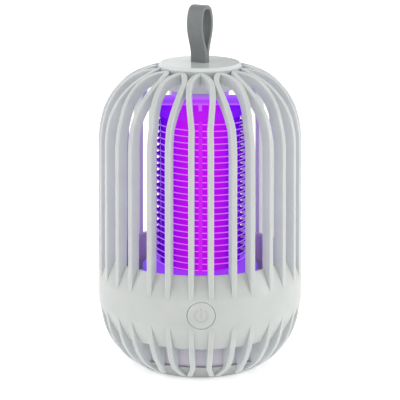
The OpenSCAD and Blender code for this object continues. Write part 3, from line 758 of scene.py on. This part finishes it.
def rib_ring(path, i):
    """Section of a rib at station i of a path, mitred to the bend there."""
    here = at(*path[i])
    before = at(*path[max(i - 1, 0)])
    after = at(*path[min(i + 1, len(path) - 1)])
    along = (after - before).normalized()
    normal = outward(*path[i])
    side = along.cross(normal).normalized()
    step_in = (here - before) if i else (after - here)
    stretch = 1 / max(step_in.normalized().dot(along), 0.5)
    return [here + side * (u * stretch) - normal * v for u, v in rib_outline(rib_depth(path[i][2]))]


def spread(r):
    """Azimuth of a rib from the middle of its arch, on the crown."""
    x = (BEND_R - r) / (BEND_R - KISS_R)
    return RIB_ANGLE + (KISS_ANGLE - RIB_ANGLE) * x * (3 - x) / 2


def half_arch():
    """Stations (radius, azimuth, height) of half an arch, from inside the band to its apex."""
    heights = steps(FLUSH_TOP_Z, band_top_z, ROOT_STEPS)
    heights += steps(band_top_z, SHOULDER_Z, STRAIGHT_STEPS)[1:]
    heights += steps(SHOULDER_Z, crown_height(BEND_R), BEND_STEPS)[1:]
    path = [(cage_r(z), RIB_ANGLE, z) for z in heights]
    path += [(r, spread(r), crown_height(r)) for r in steps(BEND_R, KISS_R, SPREAD_STEPS)[1:]]
    end = math.radians(LOBE_END)
    for a in steps(0, end, LOBE_STEPS)[1:]:
        r = KISS_R - (KISS_R - APEX_R) * math.sin(a) / math.sin(end)
        azimuth = KISS_ANGLE * (math.cos(a) - math.cos(end)) / (1 - math.cos(end))
        path.append((r, azimuth, crown_height(r)))
    return path


def make_arches():
    """Arches of two ribs each, from the band to the hub."""
    right = half_arch()
    path = [(r, -azimuth, z) for r, azimuth, z in right] + right[-2::-1]
    arch = loft([rib_ring(path, i) for i in range(len(path))])
    arches = new_object("ribs_upper", around(arch, ARCH_COUNT))
    finish(arches, shell, "cage", ["cage_arches"])


def make_lower_ribs():
    """Short ribs under the band, in line with the arches."""
    heights = steps(parting_z, FLUSH_BOTTOM_Z, ROOT_STEPS)
    ribs = []
    for side in (-1, 1):
        path = [(cage_r(z), side * RIB_ANGLE, z) for z in heights]
        ribs.append(loft([rib_ring(path, i) for i in range(len(path))]))
    lower = new_object("ribs_lower", around(merged(ribs), ARCH_COUNT))
    finish(lower, shell, "cage", ["bowl_ribs"])


def on_band(x, z, depth):
    """Point under the band's front surface."""
    return Vector((x, depth - math.sqrt(band_r(z) ** 2 - x * x), z))


def disc_rings(rings, segments=72):
    """Solid of rings (radius, depth) about the button's axis, each following the band's surface."""
    made = []
    for r, depth in rings:
        turn = [2 * math.pi * k / segments for k in range(segments)]
        made.append([on_band(r * math.cos(a), button_z + r * math.sin(a), depth) for a in turn])
    return loft(made)


def fillet_rings(r, fillet, sign, count=4):
    """Rings of a rounded edge at a radius: sign is 1 for a hole's mouth and -1 for a disc's edge."""
    rings = []
    for a in steps(0, math.pi / 2, count):
        rings.append((r + sign * fillet * (1 - math.sin(a)), fillet * (1 - math.cos(a))))
    return rings


def button_cutter():
    """Space for the button in the band, with a rounded mouth."""
    hole_r = BUTTON_R + BUTTON_GAP
    before, behind = -1, 2 * BAND_WALL
    rings = [(hole_r + BUTTON_FILLET, before)] + fillet_rings(hole_r, BUTTON_FILLET, 1) + [(hole_r, behind)]
    return new_object("button_cutter", disc_rings(rings))


def socket_cutter():
    """Space for the charging socket's bezel in the back of the band, at the button's height."""
    bezel_low, bezel_high = low("usb_bezel"), high("usb_bezel")
    top = bezel_high.z + SOCKET_GAP
    window = slab(bezel_high.x + SOCKET_GAP, 2 * button_z - top, top, SOCKET_CORNER, SOCKET_CORNER)
    ends = (bezel_low.y - 1, bezel_high.y + 2)
    return new_object("socket_cutter", loft([[Vector((u, y, v)) for u, v in window] for y in ends]))


def make_band():
    outside = [(band_r(z), z, 0) for z in steps(parting_z, band_top_z, 48)[1:-1]]
    inside = [(band_r(z) - BAND_WALL, z, 0) for z in steps(band_top_z, parting_z, 24)[1:-1]]
    top_r, bottom_r = band_r(band_top_z), band_r(parting_z)
    outline = rounded(
        [(bottom_r, parting_z, BAND_BOTTOM_FILLET)] + outside
        + [(top_r, band_top_z, BAND_TOP_FILLET), (top_r - BAND_WALL, band_top_z, BAND_TOP_FILLET)] + inside
        + [(bottom_r - BAND_WALL, parting_z, BAND_BOTTOM_FILLET)])
    band = new_object("band", lathe(outline, FINE_SEGMENTS))
    cut(band, button_cutter())
    cut(band, socket_cutter())
    finish(band, shell, "cage", ["cage_band"])


def make_hub():
    wall = hub_r - HUB_WALL
    outline = rounded([
        (0, cap_low_z, 0), (hub_r, cap_low_z, 0.2), (hub_r, hub_low_z, 0.6), (wall, hub_low_z, 0.6),
        (wall, cap_low_z - HUB_PLATE, 0.5), (0, cap_low_z - HUB_PLATE, 0)])
    hub = new_object("hub", lathe(outline))
    cut(hub, new_object("hub_slot_cutter", strap_slot()))
    finish(hub, shell, "cage", ["cage_hub"])


def make_hub_cone():
    inner_r, top, floor = NECK_R - NECK_WALL, CONE_RIM_Z + NECK_FLOOR, neck_low_z + NECK_FLOOR
    outline = rounded([
        (0, neck_low_z, 0), (NECK_R, neck_low_z, 0.5), (NECK_R, CONE_RIM_Z, 0.3),
        (CONE_RIM_R, CONE_RIM_Z, 0.3), (hub_r, hub_low_z, 0), (hub_r - HUB_WALL, hub_low_z, 0),
        (CONE_RIM_R - 1.2, top, 0), (inner_r, top, 0), (inner_r, floor, 0), (0, floor, 0)])
    finish(new_object("clamp_cover", lathe(outline)), cone_plastic, "cage", ["hub_cone"])


def make_cap_disc():
    top_r = cap_edge_r - CAP_BEVEL
    outline = rounded([
        (0, cap_low_z, 0), (cap_edge_r - 0.1, cap_low_z, 0.3), (cap_edge_r, cap_low_z + 0.6, 0.5),
        (top_r, cap_top_z, 0.6), (0, cap_top_z, 0)], 5)
    disc = new_object("cap", lathe(outline, FINE_SEGMENTS))
    cut(disc, new_object("cap_slot_cutter", strap_slot()))
    finish(disc, cap_gloss, "cage", ["cap_disc"])


# ---- Strap ----


def strap_point(across, depth, z):
    """Point in the strap's own turned frame."""
    return Vector((
        strap_across.x * across - strap_across.y * depth,
        strap_across.y * across + strap_across.x * depth, z))


def strap_slot():
    """Space that the strap's foot takes in the hub and the cap."""
    y = STRAP_FOOT_HALF + STRAP_SLOT_GAP
    window = slab(STRAP_W / 2 + STRAP_SLOT_GAP, -y, y, STRAP_SLOT_CORNER, STRAP_SLOT_CORNER)
    return loft([[strap_point(u, v, z) for u, v in window] for z in (hub_low_z - 5, cap_top_z + 1)])


def strap_half(z):
    """Half depth of the strap loop's outside at a height."""
    if z < strap_pivot_z:
        return STRAP_FOOT_HALF
    if z < strap_belly_z:
        ease = (1 - math.cos(math.pi * (z - strap_pivot_z) / (strap_belly_z - strap_pivot_z))) / 2
        return STRAP_FOOT_HALF + (STRAP_DEPTH / 2 - STRAP_FOOT_HALF) * ease
    rise = min((z - strap_belly_z) / (strap_top_z - strap_belly_z), 1)
    return STRAP_DEPTH / 2 * (1 - rise**STRAP_ROUND) ** (1 / STRAP_ROUND)


def strap_side():
    """Outside of one leg from its foot to the top: points (depth, height)."""
    heights = steps(strap_foot_z, strap_pivot_z, 10) + steps(strap_pivot_z, strap_belly_z, 30)[1:]
    round_h = strap_top_z - strap_belly_z
    heights += [strap_belly_z + round_h * math.sin(a) for a in steps(0, math.pi / 2, 34)[1:-1]]
    return [Vector((strap_half(z), z)) for z in heights] + [Vector((0, strap_top_z))]


def strap_layers():
    """Places across the strap, with how far its edges are rounded there: (across, inset)."""
    edge = []
    for a in steps(0, math.pi / 2, 4):
        across = -STRAP_W / 2 + STRAP_FILLET * (1 - math.cos(a))
        edge.append((across, STRAP_FILLET * (1 - math.sin(a))))
    return edge + [(-across, inset) for across, inset in reversed(edge)]


def make_strap_loop():
    """Strap of two legs, which are one below its eye and part above it.

    Its points run by station along a leg, then by leg, by layer across, and from outside to inside.
    """
    side = strap_side()
    layers = strap_layers()
    count = len(side)
    eye_low = cap_top_z + EYE_BOTTOM_RISE
    points, faces = [], []
    fused = []
    for i, here in enumerate(side):
        along = (side[min(i + 1, count - 1)] - side[max(i - 1, 0)]).normalized()
        normal = Vector((along.y, -along.x)) if i < count - 1 else Vector((0, 1))
        rise = min(max((here.y - eye_low) / EYE_OPENING_RISE, 0), 1)
        open_share = rise * rise * (3 - 2 * rise)
        inner = here - normal * STRAP_T
        inner = Vector((max(inner.x, 0) * open_share, inner.y if rise > 0 else here.y))
        fused.append(open_share == 0)
        for mirror in (-1, 1):
            for across, inset in layers:
                outside = here - normal * inset
                inside = inner + normal * inset * open_share
                for p in (outside, inside):
                    points.append(strap_point(across, mirror * max(p.x, 0), p.y))
    width = len(layers)

    def patch(mirror, *corners):
        """Face through corners (station, layer, 0 outside or 1 inside) of one leg."""
        return [((i * 2 + mirror) * width + j) * 2 + inside for i, j, inside in corners]

    for mirror in (0, 1):
        for i in range(count - 1):
            for j in range(width - 1):
                faces.append(patch(mirror, (i, j, 0), (i, j + 1, 0), (i + 1, j + 1, 0), (i + 1, j, 0)))
                if not fused[i + 1]:
                    faces.append(patch(mirror, (i, j, 1), (i, j + 1, 1), (i + 1, j + 1, 1), (i + 1, j, 1)))
            for j in (0, width - 1):
                faces.append(patch(mirror, (i, j, 0), (i + 1, j, 0), (i + 1, j, 1), (i, j, 1)))
        for j in range(width - 1):
            faces.append(patch(mirror, (0, j, 0), (0, j + 1, 0), (0, j + 1, 1), (0, j, 1)))
    strap = new_object("strap", (points, faces))
    finish(strap, silicone, None, ["strap_loop", "strap_root"])
    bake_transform(strap)


# ---- Button ----


def make_button():
    rings = [(r, 0) for r in steps(0.4, BUTTON_R - BUTTON_FILLET, 8)]
    rings += fillet_rings(BUTTON_R, BUTTON_FILLET, -1)[1:]
    rings += [(BUTTON_R, BUTTON_THICK), (BUTTON_R - 1, BUTTON_THICK)]
    rings += [(STEM_R, BUTTON_THICK), (STEM_R, BUTTON_THICK + STEM_LENGTH)]
    button = new_object("button", disc_rings(rings))
    finish(button, shell, "power_button", ["button_cap"])


def stroke(middle, width):
    """An all but flush inlay of a width with round ends, along points (x, z) of the button's face."""
    path = [Vector(p) for p in middle]
    first, last = (path[0] - path[1]).normalized(), (path[-1] - path[-2]).normalized()
    turns = (0.1, 0.5, 0.9, 1.3)
    stations = [(path[0] + first * width / 2 * math.cos(a), width * math.sin(a)) for a in turns]
    stations += [(p, width) for p in path]
    stations += [(path[-1] + last * width / 2 * math.cos(a), width * math.sin(a)) for a in turns[::-1]]
    edge = [(-1, MARK_DEPTH), (-1, 0), (-0.9, -MARK_PROUD)]
    section = edge + [(-share, depth) for share, depth in reversed(edge)]
    rings = []
    for i, (here, wide) in enumerate(stations):
        along = (stations[min(i + 1, len(stations) - 1)][0] - stations[max(i - 1, 0)][0]).normalized()
        side = Vector((-along.y, along.x)) * wide / 2
        places = [(here + side * share, depth) for share, depth in section]
        rings.append([on_band(p.x, button_z + p.y, depth) for p, depth in places])
    return loft(rings)


def make_mark_inlay():
    """Power symbol: a ring that is open at the top, and an upright stroke in its opening."""
    turn = [math.radians(a) for a in steps(90 + MARK_OPENING, 450 - MARK_OPENING, 40)]
    arc = stroke([(MARK_R * math.cos(a), MARK_R * math.sin(a)) for a in turn], MARK_STROKE)
    upright = stroke([(0, z) for z in steps(MARK_BAR_LOW, MARK_BAR_HIGH, 8)], MARK_STROKE)
    mark = new_object("button_mark", merged([arc, upright]))
    finish(mark, mark_plastic, "power_button")


# ---- Lamp and grid ----


def make_lamp_tube():
    inner = lamp_r - TUBE_WALL
    outline = [(inner, lamp_low_z), (lamp_r, lamp_low_z), (lamp_r, lamp_top_z), (inner, lamp_top_z)]
    tube = new_object("lamp", lathe(outline))
    finish(tube, lamp_glow, "cage", ["lamp_tube"])


def bar(half_length, section):
    """Solid along X with a (y, z) section and slightly rounded ends."""
    middle = sum(section, Vector((0, 0))) / len(section)
    rounding, end_share = 0.2, 0.94
    rings = []
    for x in (-half_length, -half_length + rounding, half_length - rounding, half_length):
        share = end_share if abs(x) == half_length else 1
        rings.append([Vector((x, *(middle + (p - middle) * share))) for p in section])
    return loft(rings)


def make_lamp_cap_piece():
    """Skirt and top of the lamp's cap, with a grip across it and a small tab in front of the grip."""
    foot, inner = lamp_cap_top_z - 0.1, lamp_r + SEAT_GAP
    disc = rounded([
        (0, lamp_top_z, 0), (inner, lamp_top_z, 0), (inner, sleeve_low_z, 0.2),
        (SLEEVE_R, sleeve_low_z, 0.3), (SLEEVE_R, lamp_cap_top_z, 0.4), (0, lamp_cap_top_z, 0)], 4)
    grip = slab(GRIP_T / 2, foot, grip_top_z, 0, 0.4, 4)
    stop = slab(TAB_HALF, foot, lamp_cap_top_z + TAB_RISE, 0, 0.3)
    tab = loft([[Vector((u, y, v)) for u, v in stop] for y in (-TAB_R, -GRIP_T / 2)])
    piece = new_object("lamp_top", merged([lathe(disc), bar(GRIP_HALF, grip), tab]))
    finish(piece, lamp_cap_glow, "cage", ["lamp_cap"])


def make_turret_piece():
    """Round seat of the lamp with a groove near its edge, and the ring that the grid stands on."""
    inner, groove_out, groove_z = lamp_r - TURRET_WALL, turret_r - TURRET_WALL, turret_top_z - TURRET_GROOVE
    groove_in = groove_out - TURRET_GROOVE
    outline = rounded([
        (inner, turret_low_z, 0), (turret_r, turret_low_z, 0.3), (turret_r, turret_top_z, 2.4),
        (groove_out, turret_top_z, 0.15), (groove_out, groove_z, 0),
        (groove_in, groove_z, 0), (groove_in, turret_top_z, 0.15), (inner, turret_top_z, 0)], 5)
    turret = new_object("lamp_seat", lathe(outline))
    finish(turret, turret_glow, "cage", ["turret"])
    base_in, base_r = lamp_r + SEAT_GAP, high("grid_base").x
    base_low, base_top = low("grid_base").z, high("grid_base").z
    foot = rounded([
        (base_in, base_low, 0), (base_r, base_low, 0.1), (base_r, base_top, 0.5), (base_in, base_top, 0.2)])
    base = new_object("grid_foot", lathe(foot))
    finish(base, turret_glow, "cage", ["grid_base"])


def make_coils():
    """The two wires wound round the lamp, one coil between the turns of the other."""
    turns = [2 * math.pi * m / WIRE_SIDES for m in range(WIRE_SIDES)]
    section = [(WIRE_R * math.cos(a), WIRE_R * math.sin(a)) for a in turns]
    lead = 2 * WIRE_PITCH
    for node, (radius, front_z, first, last) in COILS.items():
        rings = []
        for azimuth in steps(first, last, round((last - first) / WIRE_STEP)):
            z = front_z - lead * azimuth / 360
            rings.append([at(radius + out, azimuth, z + up) for out, up in section])
        made = new_object(node.replace("coil", "wire"), loft(rings))
        finish(made, wire, "cage", [node])


def make_posts():
    """Two posts that hold the wires, at the front and the back."""
    section = slab(POST_W / 2, lamp_r + SEAT_GAP, POST_OUTER_R, 0, 0.5)
    ends = ((post_low_z, 1), (post_top_z - 0.5, 1), (post_top_z, 0.985))
    rings = [[Vector((u * share, -v * share, z)) for u, v in section] for z, share in ends]
    posts = new_object("grid_supports", around(loft(rings), 2))
    finish(posts, post, "cage", ["grid_posts"])


def make_combs():
    """Toothed combs at the two sides, whose teeth stand between the wires."""
    first = FIRST_WIRE_Z + WIRE_PITCH / 2
    gaps = 2 * TURN_COUNT - 2
    inner = lamp_r + SEAT_GAP
    tooth = [
        (0, COMB_ROOT_R, 0.1), (0.22, COMB_WAIST_R, 0.1), (0.38, COMB_R, 0.25), (0.62, COMB_R, 0.25),
        (0.78, COMB_WAIST_R, 0.1)]
    corners = [(inner, post_low_z, 0), (COMB_ROOT_R, post_low_z, 0)]
    for i in range(gaps):
        corners += [(r, first + (i + share) * WIRE_PITCH, fillet) for share, r, fillet in tooth]
    last_root = (COMB_ROOT_R, first + gaps * WIRE_PITCH, 0)
    corners += [last_root, (COMB_ROOT_R, post_top_z, 0), (inner, post_top_z, 0)]
    outline = rounded(corners, 2)
    plate = loft([[Vector((x, -r, z)) for r, z in outline] for x in (-COMB_T / 2, COMB_T / 2)])
    combs = new_object("grid_combs_clear", around(plate, 2, 90))
    edges = combs.modifiers.new("edges", "BEVEL")
    edges.width = 0.12 * MM
    edges.segments = 2
    finish(combs, post, "cage", ["grid_combs"])


# ---- Tray ----


def pan_r(z):
    """Radius of the tray pan's outside at a height."""
    return PAN_FOOT_R + (pan_top_r - PAN_FOOT_R) * (z - PAN_FOOT_Z) / (pan_top_z - PAN_FOOT_Z)


def fin(side):
    """One fin of the tray, on one side of its arch's middle."""
    rings = []
    cup_side = cup_r + SEAT_GAP
    for z in steps(parting_z - 0.02, fin_foot_z, 30):
        azimuth = RIB_ANGLE
        if z < FIN_TURN_Z:
            fall = (FIN_TURN_Z - z) / (FIN_TURN_Z - PAN_FOOT_Z)
            azimuth += (FIN_FOOT_ANGLE - RIB_ANGLE) * fall**FIN_FOOT_POWER
        azimuth *= side
        outer = cage_r(z)
        inner = min(cup_side, pan_r(z) - 0.5) if z < pan_top_z else cup_side
        across = at(1, azimuth + 90, 0)
        inwards = at(-1, azimuth, 0)
        here = at(outer, azimuth, z)
        rings.append([here + across * u + inwards * v for u, v in rib_outline(outer - inner)])
    return loft(rings)


def make_fins():
    fins = new_object("tray_ribs", around(merged([fin(-1), fin(1)]), ARCH_COUNT))
    finish(fins, shell, "tray", ["tray_fins"])


def make_pan():
    """Shallow dish with a groove for the foot ring under it."""
    ring_in, ring_out = foot_ring_r - FOOT_RING_W - FOOT_RING_GAP, foot_ring_r + FOOT_RING_GAP
    floor = PAN_FOOT_Z + PAN_FLOOR
    outline = rounded([
        (0, PAN_LOW_Z, 0), (ring_in, PAN_LOW_Z, 0.2), (ring_in, foot_ring_top_z, 0),
        (ring_out, foot_ring_top_z, 0), (ring_out, PAN_LOW_Z, 0.2), (PAN_FOOT_R - 0.3, PAN_LOW_Z, 0.3),
        (PAN_FOOT_R, PAN_FOOT_Z, 0.5), (pan_top_r, pan_top_z, 0.5), (cup_r + SEAT_GAP, pan_top_z, 0),
        (PAN_FOOT_R - PAN_WALL, floor, 0.5), (0, floor, 0)], 4)
    finish(new_object("tray_base", lathe(outline)), pan_plastic, "tray", ["tray_pan"])


def make_cup():
    inner = cup_r - CUP_WALL
    outline = rounded([
        (0, CUP_FOOT_Z, 0), (CUP_FOOT_R, CUP_FOOT_Z, 1), (cup_r, pan_top_z, 0.3),
        (cup_r, cup_top_z, 0.4), (inner, cup_top_z, 0.4), (inner, pan_top_z + 1, 1.5),
        (CUP_INNER_R, CUP_INNER_Z, 2), (0, CUP_INNER_Z, 0)], 4)
    finish(new_object("insect_cup", lathe(outline)), liner, "tray", ["tray_cup"])


def make_foot_ring():
    inner = foot_ring_r - FOOT_RING_W
    outline = rounded([
        (inner, 0, 0.4), (foot_ring_r, 0, 0.4),
        (foot_ring_r, foot_ring_top_z, 0.1), (inner, foot_ring_top_z, 0.1)])
    finish(new_object("foot", lathe(outline)), rubber, "tray", ["foot_ring"])


# ---- CAD nodes that keep their own mesh ----

KEPT = [
    (shell, ["button_sleeve", "usb_bezel"]),
    (liner, ["strap_clamp", "bowl_liner", "drop_funnel", "front_bridge", "rear_bridge"]),
    (liner, ["side_spokes", "drum_shell", "drum_floor"]),
    (steel, ["strap_screws", "floor_screws", "core_screws", "board_screws"]),
    (steel, ["battery_contacts", "usb_socket"]),
    (white_board, ["lamp_spine", "led_boards"]),
    (green_board, ["main_board", "switch_board", "usb_board"]),
    (black_plastic, ["battery_holder", "board_chips", "tact_switch", "button_plunger"]),
    (brass, ["live_bus", "earth_bus"]),
    (led, ["uv_leds"]),
    (cell_wrap, ["battery_cell"]),
    (yellow_tape, ["hv_transformer"]),
    (blue_sleeve, ["hv_capacitors"]),
    (rubber, ["tray_seal"])]


def paint_kept_nodes():
    for material, names in KEPT:
        for name in names:
            node = frame["nodes"][name]
            node.data.materials.clear()
            node.data.materials.append(material)


# ---- Studio ----

CAMERA_DISTANCE, CAMERA_AZIMUTH, CAMERA_Z = 1003, -0.6, 347
CAMERA_DOWN = 13.97
CAMERA_LENS, SENSOR_W = 158.04, 36
FLOOR_HALF, FLOOR_LIGHT = 6000, 0.32
CARD_EDGE, CARD_BLUR = 0.012, 0.003
BRIGHT_CARD, DARK_CARD = 0.25, -0.5
LIGHT_SIZE, LIGHT_TARGET = 900, Vector((0, 0, 100))
# Place and watts of each lamp
LIGHTS = {"key": ((-1500, -350, 900), 7), "fill": ((1500, -350, 500), 8)}


def make_camera():
    data = bpy.data.cameras.new("camera")
    data.lens = CAMERA_LENS
    data.sensor_width = SENSOR_W
    data.clip_end = 20
    camera = bpy.data.objects.new("camera", data)
    camera.location = at(CAMERA_DISTANCE, CAMERA_AZIMUTH, CAMERA_Z) * MM
    camera.rotation_euler = (math.radians(90 - CAMERA_DOWN), 0, math.radians(CAMERA_AZIMUTH))
    bpy.context.scene.collection.objects.link(camera)
    bpy.context.scene.camera = camera


def make_floor():
    """White paper that gives off a little light, so that it stays white away from the lamps."""
    corners = [(-1, -1), (1, -1), (1, 1), (-1, 1)]
    points = [Vector((x * FLOOR_HALF, y * FLOOR_HALF, 0)) for x, y in corners]
    floor = new_object("floor", (points, [[0, 1, 2, 3]]))
    material, shader = new_material("floor_paper")
    stops = [(NOISE_LOW, (0.96, 0.96, 0.96)), (NOISE_HIGH, (0.98, 0.98, 0.98))]
    tone = ramp(material, noise(material, 400), stops)
    feed(material, shader.outputs["BSDF"], **{"Base Color": tone, "Emission Color": tone})
    shader.inputs["Roughness"].default_value = 0.9
    shader.inputs["Specular IOR Level"].default_value = 0.1
    shader.inputs["Emission Strength"].default_value = FLOOR_LIGHT
    floor.data.materials.append(material)


def add_soft_light(name, place, watts):
    data = bpy.data.lights.new(name, "AREA")
    data.shape = "DISK"
    data.size = LIGHT_SIZE * MM
    data.energy = watts
    light = bpy.data.objects.new(name, data)
    light.location = Vector(place) * MM
    aim = LIGHT_TARGET - Vector(place)
    light.rotation_euler = aim.to_track_quat("-Z", "Y").to_euler()
    bpy.context.scene.collection.objects.link(light)


def make_light():
    """Even studio light, with a bright card behind on the left and a dark one behind on the right."""
    world = bpy.data.worlds.new("studio")
    world.use_nodes = True
    background = world.node_tree.nodes["Background"]
    background.inputs["Color"].default_value = (1.0, 1.0, 1.0, 1)
    x, y, z = split(world, "Generated")
    behind = scaled(world, y, 0.75, 0.9, 0.0, 1.0)
    above_floor = scaled(world, z, 0.02, 0.1, 0.0, 1.0)
    below_top = scaled(world, z, 0.4, 0.55, 1.0, 0.0)
    side = maths(world, "DIVIDE", x, y)
    card = scaled(world, side, CARD_EDGE - CARD_BLUR, CARD_EDGE + CARD_BLUR, BRIGHT_CARD, DARK_CARD)
    for limit in (behind, above_floor, below_top):
        card = maths(world, "MULTIPLY", card, limit)
    plug(world, maths(world, "ADD", card, 1.0), background.inputs["Strength"])
    bpy.context.scene.world = world
    for name, (place, watts) in LIGHTS.items():
        add_soft_light(name, place, watts)
    bpy.context.scene.view_settings.view_transform = "Standard"


make_camera()
make_floor()
make_light()
make_arches()
make_lower_ribs()
make_band()
make_hub()
make_hub_cone()
make_cap_disc()
make_strap_loop()
make_button()
make_mark_inlay()
make_lamp_tube()
make_lamp_cap_piece()
make_turret_piece()
make_coils()
make_posts()
make_combs()
make_fins()
make_pan()
make_cup()
make_foot_ring()
paint_kept_nodes()
